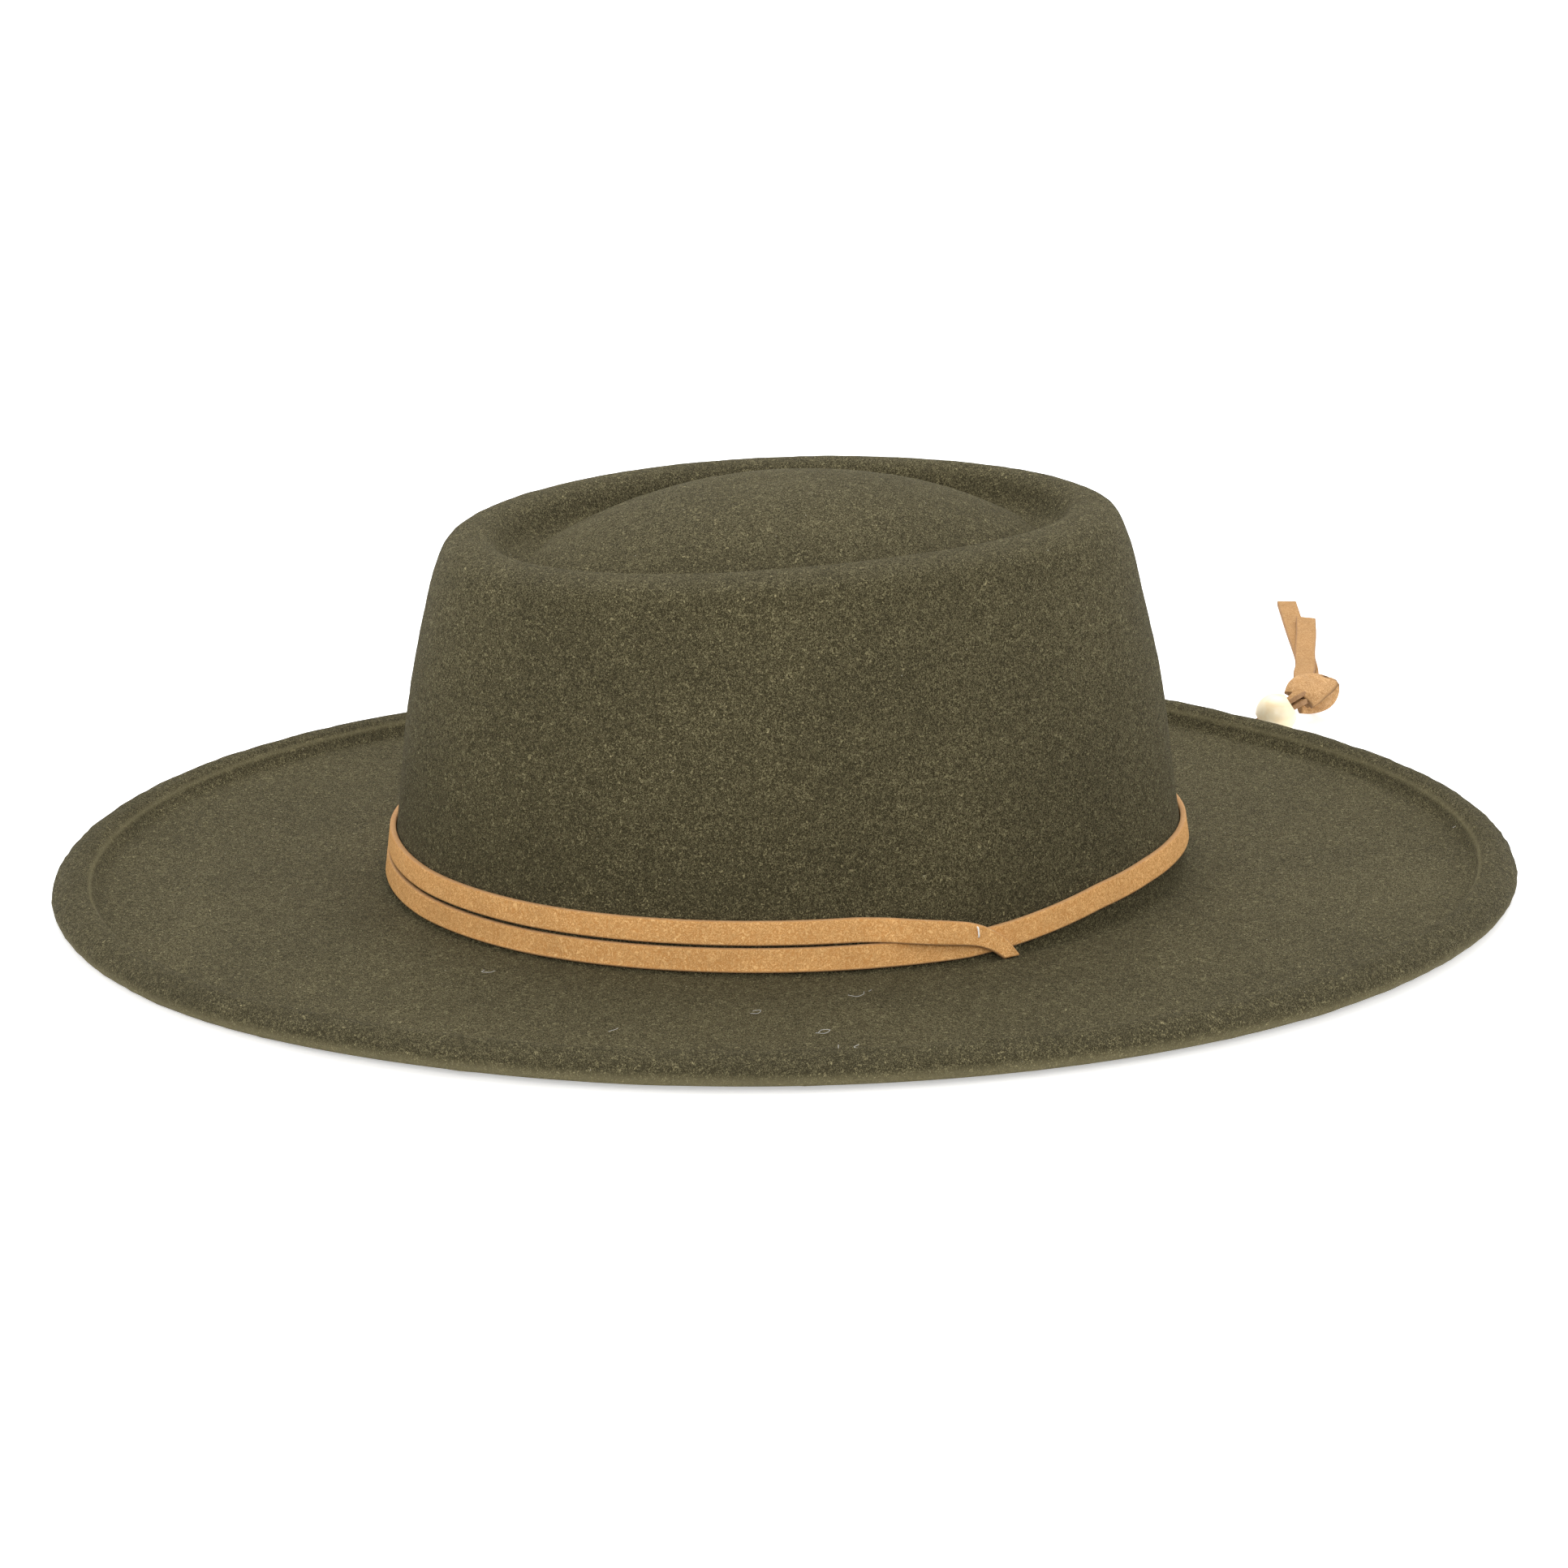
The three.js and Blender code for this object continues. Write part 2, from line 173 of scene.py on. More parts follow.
def vertices_of(piece: Piece) -> Array:
    """Read a mesh's vertices.

    Args:
        piece: The piece to read.

    Returns:
        The places of its vertices, one a row.
    """
    places = np.zeros(len(piece.data.vertices) * 3, np.float32)
    piece.data.vertices.foreach_get("co", places)
    return places.reshape(-1, 3).astype(float)


def rings_of(piece: Piece) -> Array:
    """Read which ring of the felt each vertex is on.

    Args:
        piece: The shell that was spun.

    Returns:
        The number of the ring, from the top of the dome, at each vertex.
    """
    rings = np.zeros(len(piece.data.vertices), np.int32)
    piece.data.attributes["ring"].data.foreach_get("value", rings)
    return rings


def clean_mesh(piece: Piece, distance: float = 2e-6) -> None:
    """Merge doubled vertices and turn all faces outwards.

    Args:
        piece: The mesh to clean.
        distance: Vertices nearer to each other than this are merged.
    """
    pick(piece)
    to_mode("EDIT")
    bpy.ops.mesh.select_all(action="SELECT")
    bpy.ops.mesh.remove_doubles(threshold=distance)
    bpy.ops.mesh.normals_make_consistent(inside=False)
    to_mode("OBJECT")


def grid_sheet(name: str, columns: int, rows: int) -> tuple[Piece, Array]:
    """Add a flat sheet, one unit each way.

    Args:
        name: Its name.
        columns: How many faces it has across.
        rows: How many it has along.

    Returns:
        The sheet and its vertices, one a row.
    """
    deselect()
    bpy.ops.mesh.primitive_grid_add(x_subdivisions=columns, y_subdivisions=rows, size=1.0)
    sheet = bpy.context.object
    sheet.name = sheet.data.name = name
    return sheet, vertices_of(sheet)


def round_edges(piece: Piece, width: float, segments: int, degrees: float) -> None:
    """Apply a piece's modifiers, then round its sharp edges and shade it smooth.

    Args:
        piece: The piece to round.
        width: How far the rounding reaches from each edge.
        segments: How many faces it has.
        degrees: Edges that turn by more than this are rounded.
    """
    rounded = piece.modifiers.new("rounding", "BEVEL")
    rounded.width = width
    rounded.segments = segments
    rounded.limit_method = "ANGLE"
    rounded.angle_limit = math.radians(degrees)
    apply_modifiers(piece)
    bpy.ops.object.shade_smooth()


def hand_over(
    piece: Piece,
    materials: Sequence[Material],
    stands_for: Sequence[str] = (),
) -> Piece:
    """Dress a finished piece and fasten it to the hat.

    Args:
        piece: The finished mesh.
        materials: Its materials, in the order of its faces' indices.
        stands_for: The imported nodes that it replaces.

    Returns:
        The same piece.
    """
    piece.data.materials.clear()
    for material in materials:
        piece.data.materials.append(material)
    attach(piece, BODY)
    if stands_for:
        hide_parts(*stands_for)
    triangles = sum(len(face.vertices) - 2 for face in piece.data.polygons)
    LOG.info("%s: %d triangles", piece.name, triangles)
    return piece


class NodeTable:
    """Adds nodes to one shader tree and links them."""

    def __init__(self, tree: bpy.types.NodeTree) -> None:
        """Keep the tree that the nodes go into."""
        self.tree = tree

    def add(self, kind: str, links: dict | None = None, **settings: object) -> bpy.types.Node:
        """Add one node.

        Args:
            kind: The node's type, without its ShaderNode prefix.
            links: Input names or numbers, each with a value or with the socket that feeds it.
            **settings: The node's own settings.

        Returns:
            The new node.
        """
        node = self.tree.nodes.new(kind if kind.startswith("Node") else f"ShaderNode{kind}")
        for name, value in settings.items():
            setattr(node, name, value)
        for name, value in (links or {}).items():
            self.feed(node.inputs[name], value)
        return node

    def feed(self, socket: bpy.types.NodeSocket, value: object) -> None:
        """Give an input its value, or link it.

        Args:
            socket: The input.
            value: Its value, or the socket that feeds it.
        """
        if isinstance(value, bpy.types.NodeSocket):
            self.tree.links.new(value, socket)
        else:
            socket.default_value = value

    def noise(self, where: object, scale: object, detail: float, rough: float = 0.5) -> bpy.types.Node:
        """Add a noise texture."""
        return self.add("TexNoise", {"Vector": where, "Scale": scale, "Detail": detail, "Roughness": rough})

    def calc(self, first: object, second: object, operation: str = "MULTIPLY") -> object:
        """Return the socket of a two-input Math node."""
        return self.add("Math", {0: first, 1: second}, operation=operation).outputs[0]

    def ramp(self, value: object, low: float, high: float) -> object:
        """Return the socket that rises from 0 to 1 as value goes from low to high."""
        node = self.add("MapRange", {"Value": value, "From Min": low, "From Max": high}, clamp=True)
        return node.outputs["Result"]

    def blend(self, share: object, first: object, second: object, mode: str = "MIX") -> object:
        """Mix two colours.

        Args:
            share: How much of the second colour there is.
            first: The first colour or its socket.
            second: The second colour or its socket.
            mode: The way in which they are mixed.

        Returns:
            The socket of the mixed colour.
        """
        node = self.add("Mix", data_type="RGBA", blend_type=mode, clamp_factor=True)
        for socket, value in zip((node.inputs[0], node.inputs[6], node.inputs[7]), (share, first, second)):
            self.feed(socket, value)
        return node.outputs[2]


def start_material(name: str) -> tuple[Material, NodeTable]:
    """Make an empty material, with a table for its nodes.

    Args:
        name: Its name.

    Returns:
        The material and the table.
    """
    made = bpy.data.materials.new(name)
    made.use_nodes = True
    made.node_tree.nodes.clear()
    return made, NodeTable(made.node_tree)


def nap_group() -> bpy.types.NodeTree:
    """Make the nap that felt and suede share: short fibres that lie every way, in soft clumps.

    Returns:
        The group, with a Vector, a Grain and a Clump input and Fibre, Clump and Height outputs.
    """
    group = bpy.data.node_groups.new("nap", "ShaderNodeTree")
    for name, kind in (("Vector", "Vector"), ("Grain", "Float"), ("Clump", "Float")):
        group.interface.new_socket(name=name, in_out="INPUT", socket_type=f"NodeSocket{kind}")
    for name in ("Fibre", "Clump", "Height"):
        group.interface.new_socket(name=name, in_out="OUTPUT", socket_type="NodeSocketFloat")
    table = NodeTable(group)
    where, grain, clumps = table.add("NodeGroupInput").outputs[:3]
    swirl = table.noise(where, clumps, 2.0)
    bend = {0: swirl.outputs["Color"], 1: (NAP_BEND,) * 3, 2: where}
    bent = table.add("VectorMath", bend, operation="MULTIPLY_ADD")
    strands = []
    for turn, stretch in NAP_LAYS:
        lay = table.add("Mapping", {"Vector": bent.outputs[0], "Rotation": turn, "Scale": stretch})
        strands.append(table.noise(lay.outputs[0], grain, 2.5, 0.62).outputs["Fac"])
    fibre = table.calc(table.calc(strands[0], strands[1], "MAXIMUM"), strands[2], "ADD")
    sharp = table.ramp(fibre, 0.95, 1.2)
    clump = table.ramp(swirl.outputs["Fac"], 0.3, 0.7)
    height = table.calc(sharp, table.calc(clump, 0.5), "ADD")
    result = table.add("NodeGroupOutput")
    for name, socket in (("Fibre", sharp), ("Clump", clump), ("Height", height)):
        group.links.new(socket, result.inputs[name])
    return group


@dataclass(frozen=True)
class NapFinish:
    """A matt finish of short fibres: wool felt, the face of suede or its cut edge."""

    name: str
    nap: bpy.types.NodeTree
    deep: Triple
    middle: Triple
    light: Triple
    grain: float = 3600.0
    clump: float = 500.0
    bump: float = 0.05 * MM
    sheen: float = 0.08
    roughness: float = 0.95
    patch: float = 22.0
    patch_depth: float = 0.12
    # where the three tones lie from the bottom of the fibres to their tips
    tone_stops: Triple = (0.12, 0.5, 0.95)
    fleck: Triple = (0.6, 0.55, 0.4)
    fleck_share: float = 0.0
    fleck_grain: float = 0.28
    fleck_edge: Pair = (0.16, 0.08)
    # a strip's darker edges, on the knot's folds a painted shadow in the gaps between them: where the dark
    # starts and is full across, how the fibres break it, how strong it is
    dark_edge: Triple | None = None
    dark_edge_limits: Pair = (0.455, 0.5)
    dark_edge_break: float = 0.035
    dark_edge_share: float = 0.7
    # the rolled rim's two lines of painted light, a painted highlight near the top of the roll and painted
    # bounce light on its lower outer face and underside: shares of the roll where they start, are full, fade
    # and end
    rolled: bool = False
    crest_highlight: tuple[Pair, Pair] = ((0.03, 0.09), (0.16, 0.1))
    foot: tuple[Pair, Pair] = ((0.62, 0.8), (0.99, 0.93))
    painted_light_share: float = 0.5
    # the dark pits between them, the rim's coarse wool with painted shade that darkens the roll's top and outer
    # face: where they start, their grain, their edge and how strong they are
    pit_shade_limits: Pair = (0.14, 0.3)
    pit_grain: float = 0.3
    pit_edge: Pair = (0.62, 0.4)
    pit_shade_share: float = 0.4

    def material(self) -> Material:
        """Build the material.

        Returns:
            The material, under the finish's name.
        """
        made, table = start_material(self.name)
        where = table.add("TexCoord")
        place = where.outputs["Object"]
        nap = table.add("Group", node_tree=self.nap)
        for name, value in (("Grain", self.grain), ("Clump", self.clump)):
            nap.inputs[name].default_value = value
        made.node_tree.links.new(place, nap.inputs["Vector"])
        tones = table.add("ValToRGB", {"Fac": nap.outputs["Fibre"]})
        stops = tones.color_ramp.elements
        stops[0].position, stops[0].color = self.tone_stops[0], (*self.deep, 1.0)
        stops[1].position, stops[1].color = self.tone_stops[2], (*self.light, 1.0)
        stops.new(self.tone_stops[1]).color = (*self.middle, 1.0)
        patches = table.noise(place, self.patch, 3.0, 0.55)
        shade = table.add(
            "MapRange",
            {"Value": patches.outputs["Fac"], "From Min": 0.3, "From Max": 0.7,
             "To Min": 1.0 - self.patch_depth, "To Max": 1.0 + self.patch_depth},
        )
        grey = table.add("CombineColor", {channel: shade.outputs[0] for channel in range(3)})
        colour = table.blend(1.0, tones.outputs["Color"], grey.outputs[0], "MULTIPLY")
        if self.fleck_share:
            spots = table.add("TexVoronoi", {"Vector": place, "Scale": self.grain * self.fleck_grain})
            near = table.ramp(spots.outputs["Distance"], *self.fleck_edge)
            rare = table.add("SeparateColor", {0: spots.outputs["Color"]})
            chosen = table.calc(rare.outputs[0], 1.0 - self.fleck_share, "GREATER_THAN")
            colour = table.blend(table.calc(near, chosen), colour, (*self.fleck, 1.0))
        if self.dark_edge:
            # darker along the strip's edges; on the knot's folds this is painted shadow in the gaps between
            # them
            across = table.add("SeparateXYZ", {0: where.outputs["UV"]})
            off = table.calc(table.calc(across.outputs[0], 0.5, "SUBTRACT"), 0.0, "ABSOLUTE")
            rough = table.calc(nap.outputs["Fibre"], self.dark_edge_break)
            rim = table.ramp(table.calc(off, rough, "ADD"), *self.dark_edge_limits)
            colour = table.blend(table.calc(rim, self.dark_edge_share), colour, (*self.dark_edge, 1.0))
        if self.rolled:
            # dark pits of the coarse wool over the roll's top and outer face, partly painted shade of a face
            # turned from the top light
            roll = table.add("Attribute", attribute_name="roll").outputs["Fac"]
            pits = table.noise(place, self.grain * self.pit_grain, 2.0).outputs["Fac"]
            dark = table.calc(table.ramp(pits, *self.pit_edge), table.ramp(roll, *self.pit_shade_limits))
            colour = table.blend(table.calc(dark, self.pit_shade_share), colour, (*self.deep, 1.0))
            # painted highlight near the top of the roll and painted bounce light low on its outer face and
            # underside, in the light tone
            crest_highlight, foot = (
                table.calc(table.ramp(roll, *rise), table.ramp(roll, *fall))
                for rise, fall in (self.crest_highlight, self.foot)
            )
            lines = table.calc(table.calc(crest_highlight, foot, "ADD"), self.painted_light_share)
            colour = table.blend(lines, colour, (*self.light, 1.0))
        bump = table.add("Bump", {"Height": nap.outputs["Height"], "Distance": self.bump, "Strength": 1.0})
        shader = table.add(
            "BsdfPrincipled",
            {"Base Color": colour, "Normal": bump.outputs[0], "Roughness": self.roughness,
             "Specular IOR Level": 0.15, "Sheen Weight": self.sheen, "Sheen Roughness": 0.5,
             "Sheen Tint": (*self.light, 1.0)},
        )
        table.add("OutputMaterial", {"Surface": shader.outputs[0]})
        return made


@dataclass(frozen=True)
class PolishFinish:
    """A smooth finish with faint veins: the bead and the sewing thread."""

    name: str
    pale: Triple
    vein: Triple
    roughness: float
    coat: float
    vein_scale: float = 190.0

    def material(self) -> Material:
        """Build the material.

        Returns:
            The material, under the finish's name.
        """
        made, table = start_material(self.name)
        where = table.add("TexCoord")
        lay = table.add("Mapping", {"Vector": where.outputs["Object"], "Rotation": (0.5, 0.2, 1.1),
                                    "Scale": (1.0, 0.3, 1.0)})
        grain = table.add("TexNoise", {"Vector": lay.outputs[0], "Scale": self.vein_scale, "Detail": 4.0,
                                       "Distortion": 0.8})
        share = table.ramp(grain.outputs["Fac"], 0.42, 0.72)
        colour = table.blend(share, (*self.pale, 1.0), (*self.vein, 1.0))
        dull = table.add("MapRange", {"Value": grain.outputs["Fac"], "To Min": self.roughness - 0.08,
                                      "To Max": self.roughness + 0.1})
        bump = table.add("Bump", {"Height": grain.outputs["Fac"], "Distance": 0.03 * MM, "Strength": 0.5})
        shader = table.add(
            "BsdfPrincipled",
            {"Base Color": colour, "Roughness": dull.outputs[0], "Normal": bump.outputs[0],
             "Coat Weight": self.coat, "Coat Roughness": 0.2},
        )
        table.add("OutputMaterial", {"Surface": shader.outputs[0]})
        return made


@dataclass(frozen=True)
class Ring:
    """An oval ring of the felt's outer face, with its height above the brim's upper face."""

    half_length: float
    half_width: float
    height: float
    outward: float = 0.0


@dataclass(frozen=True)
class HatForm:
    """The felt's shape, with the same sizes as the frame's felt_body."""

    felt: float = 0.0025
    brim_length: float = 0.378
    brim_width: float = 0.333
    rim_width: float = 0.0116
    rim_height: float = 0.0075
    side_lift: float = 0.0013
    exit_lift: float = 0.0026
    exit_angle: float = 142.0
    exit_spread: float = 24.0
    # the sides are lifted from this share of the half width outwards, over the second share
    lift_limits: Pair = (0.3, 0.5)
    lift_fade: float = 0.026
    crown_length: float = 0.206
    crown_width: float = 0.1754
    foot_radius: float = 0.002
    lip_height: float = 0.0918
    groove_height: float = 0.083
    groove_length: float = 0.138
    groove_width: float = 0.094
    dome_height: float = 0.1016
    dome_fullness: float = 2.3
    dome_share: float = 0.9
    top_slope: float = 0.0029
    top_side_rise: float = 0.0024
    top_shift: float = -0.0025
    top_egg: float = 0.05
    # rise, length and width of the wall and lip, as shares of the lip's height and the foot's oval
    crown_sections: Path = (
        (0.0, 1.0, 1.0), (0.18, 0.979, 0.966), (0.5, 0.946, 0.898), (0.77, 0.898, 0.822),
        (0.9, 0.868, 0.783), (0.972, 0.837, 0.757), (1.0, 0.76, 0.6545), (0.985, 0.725, 0.6055),
        (0.95, 0.706, 0.575),
    )
    # inward and height of the rolled rim, as shares of its width and height
    rim_sections: tuple[Pair, ...] = (
        (0.9, 0.6), (0.79, 0.85), (0.64, 0.985), (0.46, 0.99), (0.26, 0.88), (0.09, 0.68),
        (0.0, 0.43), (0.05, 0.2), (0.17, 0.05), (0.36, 0.0),
    )

    def lift(self, angles: Array, outward: float) -> Array:
        """Find how far the brim stands off the table.

        Args:
            angles: The angles to look at.
            outward: How far out on the brim, from 0 at the crown to 1 at the rim.

        Returns:
            The lift at each angle.
        """
        start, span = self.lift_limits
        share = np.clip((np.abs(np.cos(np.radians(angles))) - start) / span, 0.0, 1.0)
        side = self.side_lift * outward * share * share * (3 - 2 * share)
        away = np.abs((angles - self.exit_angle + 180.0) % 360.0 - 180.0) / self.exit_spread
        hump = np.where(away < 1.0, np.cos(np.radians(90.0) * np.minimum(away, 1.0)) ** 2, 0.0)
        return side + hump * (self.exit_lift - side)

    def points(self, ring: Ring, angles: Array) -> Array:
        """Place a ring's points on the leaning crown or the lifted brim.

        Args:
            ring: The ring.
            angles: The angles of the points.

        Returns:
            The points, one a row.
        """
        turn = np.radians(angles)
        share = float(np.clip(ring.height / self.lip_height, 0.0, 1.0))
        reach = ring.half_length / (self.crown_length / 2)
        slope = self.top_slope * share * reach * np.sin(turn)
        rise = self.top_side_rise * share**4 * reach * np.cos(turn) ** 2
        fade = float(np.clip(1 - ring.height / self.lift_fade, 0.0, 1.0))
        return np.stack([
            ring.half_width * np.cos(turn) * (1 - self.top_egg * share * np.sin(turn)),
            ring.half_length * np.sin(turn) + self.top_shift * share,
            self.felt + ring.height + slope + rise + fade * self.lift(angles, ring.outward),
        ], axis=1)

    def crown_rings(self, dome_steps: int, wall_steps: int) -> list[Ring]:
        """Draw the section of the crown, from the middle of the dome down to its foot.

        Args:
            dome_steps: How many rings the dome has.
            wall_steps: How many the groove, the lip and the wall have.

        Returns:
            The rings in their order.
        """
        rings = []
        for share in np.linspace(0.0, self.dome_share, dome_steps + 1)[1:]:
            fall = (self.dome_height - self.groove_height) * (1 - share**self.dome_fullness)
            rings.append(Ring(share * self.groove_length / 2, share * self.groove_width / 2,
                              self.groove_height + fall))
        wall = [
            (length * self.crown_length / 2, width * self.crown_width / 2,
             self.foot_radius + rise * (self.lip_height - self.foot_radius))
            for rise, length, width in self.crown_sections
        ]
        half_length, half_width = self.groove_length / 2, self.groove_width / 2
        wall.append((half_length + self.felt, half_width + self.felt, self.groove_height + self.felt))
        wall.append((half_length - self.felt, half_width - self.felt, self.groove_height))
        rings += [Ring(*place) for place in smooth_line(wall, wall_steps)[::-1]]
        return rings

    def brim_rings(self, bend_steps: int, flat_steps: int) -> list[Ring]:
        """Draw the section of the bend at the foot and of the brim, out to the rim's crease.

        Args:
            bend_steps: How many rings the bend has.
            flat_steps: How many the brim has.

        Returns:
            The rings in their order.
        """
        rings = []
        for bend in np.radians(np.linspace(0.0, 90.0, bend_steps + 1)[1:]):
            out = self.foot_radius * (1 - math.cos(bend))
            rings.append(Ring(self.crown_length / 2 + out, self.crown_width / 2 + out,
                              self.foot_radius * (1 - math.sin(bend))))
        start = rings[-1]
        for outward in np.linspace(0.0, 1.0, flat_steps + 1)[1:]:
            rings.append(Ring(
                start.half_length + outward * (self.brim_length / 2 - self.rim_width - start.half_length),
                start.half_width + outward * (self.brim_width / 2 - self.rim_width - start.half_width),
                0.0, float(outward)))
        return rings

    def rim_rings(self, steps: int) -> list[Ring]:
        """Draw the section of the rolled rim, from the crease over the roll and under it.

        Args:
            steps: How many rings it has.

        Returns:
            The rings in their order.
        """
        return [
            Ring(self.brim_length / 2 - inward * self.rim_width, self.brim_width / 2 - inward * self.rim_width,
                 height * self.rim_height - self.felt, 1.0)
            for inward, height in smooth_line(self.rim_sections, steps)
        ]

    def off_wall(self, angles: Array, heights: Array, off: Array) -> Array:
        """Return points that stand off the lower half of the crown's wall.

        Args:
            angles: The angle of each point.
            heights: The height of each above the brim's upper face.
            off: The distance of each from the wall.

        Returns:
            The points, one a row.
        """
        rings = [ring for ring in (*self.crown_rings(8, 90), *self.brim_rings(5, 2)) if ring.outward == 0.0]
        rings = [ring for ring in rings if ring.height <= self.lip_height / 2][::-1]
        levels = [ring.height for ring in rings]
        lengths = np.interp(heights, levels, [ring.half_length for ring in rings])
        widths = np.interp(heights, levels, [ring.half_width for ring in rings])
        spots = []
        for angle, height, gap, length, width in zip(angles, heights, off, lengths, widths):
            turn = math.radians(angle)
            out = unit(np.array([math.cos(turn) / width, math.sin(turn) / length, 0.0]))
            ring = Ring(float(length), float(width), height)
            spots.append(self.points(ring, np.array([angle]))[0] + out * gap)
        return np.array(spots)


@dataclass
class FeltShell:
    """Brim and crown, one felt wall with a rolled rim."""

    form: HatForm
    finish: Material
    turns: int = 288
    dome_steps: int = 26
    wall_steps: int = 74
    flat_steps: int = 20
    rim_steps: int = 34
    bend_steps: int = 5
    # rings of the roll that lie under the brim
    under_steps: int = 9
    # size and depth of the clouds that roughen the outside, then of the rim's coarse wool
    waves: tuple[Pair, ...] = ((0.03, 0.0005), (0.0035, 0.00022))
    rim_wool: Pair = (0.0016, 0.0007)
    # shares of the roll between which the coarse wool shows
    rim_face: Pair = (0.14, 0.9)
    # where the laces lie close to the felt, the clouds are shallow: below this height, within this reach
    band_height: float = 0.019
    band_reach: float = 0.54
    band_share: float = 0.25

    def skins(self) -> Array:
        """Place the shell's points: outer face, rim and inner face.

        Returns:
            The points, ring by ring from the top of the dome to the underside of the same spot.
        """
        angles = 90.0 + np.arange(self.turns) * 360.0 / self.turns
        rings = self.form.crown_rings(self.dome_steps, self.wall_steps)
        rings += self.form.brim_rings(self.bend_steps, self.flat_steps)
        outer = np.stack([self.form.points(ring, angles) for ring in rings])
        rim = np.stack([self.form.points(ring, angles) for ring in self.form.rim_rings(self.rim_steps)])
        down = np.gradient(outer, axis=0)
        along = np.roll(outer, -1, axis=1) - np.roll(outer, 1, axis=1)
        inward = unit(np.cross(along, down))
        inner = (outer + inward * self.form.felt)[::-1]
        top = self.form.points(Ring(0.0, 0.0, self.form.dome_height), angles)[None]
        under = top - np.array([0.0, 0.0, self.form.felt])
        return np.concatenate([top, outer, rim, inner, under])

    def spun(self, rows: Array) -> Piece:
        """Spin the front section of the shell round the upright axis and press it to its oval.

        Args:
            rows: The points that skins returns.

        Returns:
            The closed shell.
        """
        count = len(rows)
        deselect()
        bpy.ops.mesh.primitive_circle_add(vertices=count, radius=self.form.brim_length / 2, fill_type="NOTHING")
        shell = bpy.context.object
        shell.name = shell.data.name = "felt_hat"
        section = np.zeros((count, 3))
        section[1:-1, 1] = np.linspace(1.0, 2.0, count - 2) * self.form.brim_length
        section[:, 2] = np.linspace(self.form.brim_length, -self.form.brim_length, count)
        put_vertices(shell, section)
        marks = shell.data.attributes.new("ring", "INT", "POINT")
        marks.data.foreach_set("value", list(range(count)))
        to_mode("EDIT")
        bpy.ops.mesh.select_mode(type="EDGE")
        bpy.ops.mesh.select_all(action="DESELECT")
        to_mode("OBJECT")
        for edge in shell.data.edges:
            edge.select = set(edge.vertices) == {0, count - 1}
        to_mode("EDIT")
        bpy.ops.mesh.delete(type="EDGE_FACE")
        bpy.ops.mesh.select_all(action="SELECT")
        bpy.ops.mesh.spin(steps=self.turns, angle=2 * math.pi, center=(0, 0, 0), axis=(0, 0, 1))
        to_mode("OBJECT")
        clean_mesh(shell, 1e-5)
        places = vertices_of(shell)
        angles = np.degrees(np.arctan2(places[:, 1], places[:, 0])) - 90.0
        steps = np.round(angles * self.turns / 360.0).astype(int) % self.turns
        put_vertices(shell, rows[rings_of(shell), steps])
        return shell

    def roughen(self, shell: Piece, name: str, size: float, depth: float, group: str) -> None:
        """Add a modifier that moves the felt in and out by a cloud.

        Args:
            shell: The felt.
            name: The modifier's name.
            size: The size of the cloud's billows.
            depth: How far they move the felt.
            group: The vertex group that they act on.
        """
        cloud = bpy.data.textures.new(f"felt_{name}", "CLOUDS")
        cloud.noise_scale = size
        wave = shell.modifiers.new(name, "DISPLACE")
        wave.texture = cloud
        wave.texture_coords = "LOCAL"
        wave.strength = depth
        wave.vertex_group = group

    def make(self) -> Piece:
        """Build, roughen and dress the felt.

        Returns:
            The felt.
        """
        shell = self.spun(self.skins())
        clean_mesh(shell)
        places = vertices_of(shell)
        ring = rings_of(shell)
        crease = 1 + self.dome_steps + self.wall_steps + self.bend_steps + self.flat_steps
        weight = np.where(ring < crease + self.rim_steps - self.under_steps, 1.0, 0.0)
        reach = np.hypot(places[:, 0] / self.form.crown_width, places[:, 1] / self.form.crown_length)
        near_band = (places[:, 2] < self.band_height) & (reach < self.band_reach)
        weight *= np.where(near_band, self.band_share, 1.0)
        outside = shell.vertex_groups.new(name="outside")
        for share in (1.0, self.band_share):
            outside.add([int(index) for index in np.flatnonzero(weight == share)], share, "REPLACE")
        for number, (size, depth) in enumerate(self.waves):
            self.roughen(shell, f"wave_{number}", size, depth, outside.name)
        roll = np.clip((ring - crease) / (self.rim_steps - 1), 0.0, 1.0)
        coarse = np.flatnonzero((roll > self.rim_face[0]) & (roll < self.rim_face[1]))
        face = shell.vertex_groups.new(name="rim_face")
        face.add([int(index) for index in coarse], 1.0, "REPLACE")
        self.roughen(shell, "rim_wool", *self.rim_wool, face.name)
        apply_modifiers(shell)
        marks = shell.data.attributes.new("roll", "FLOAT", "POINT")
        marks.data.foreach_set("value", roll.astype(np.float32))
        shell.data.attributes.remove(shell.data.attributes["ring"])
        bpy.ops.object.shade_smooth()
        return hand_over(shell, [self.finish], ["felt_body"])


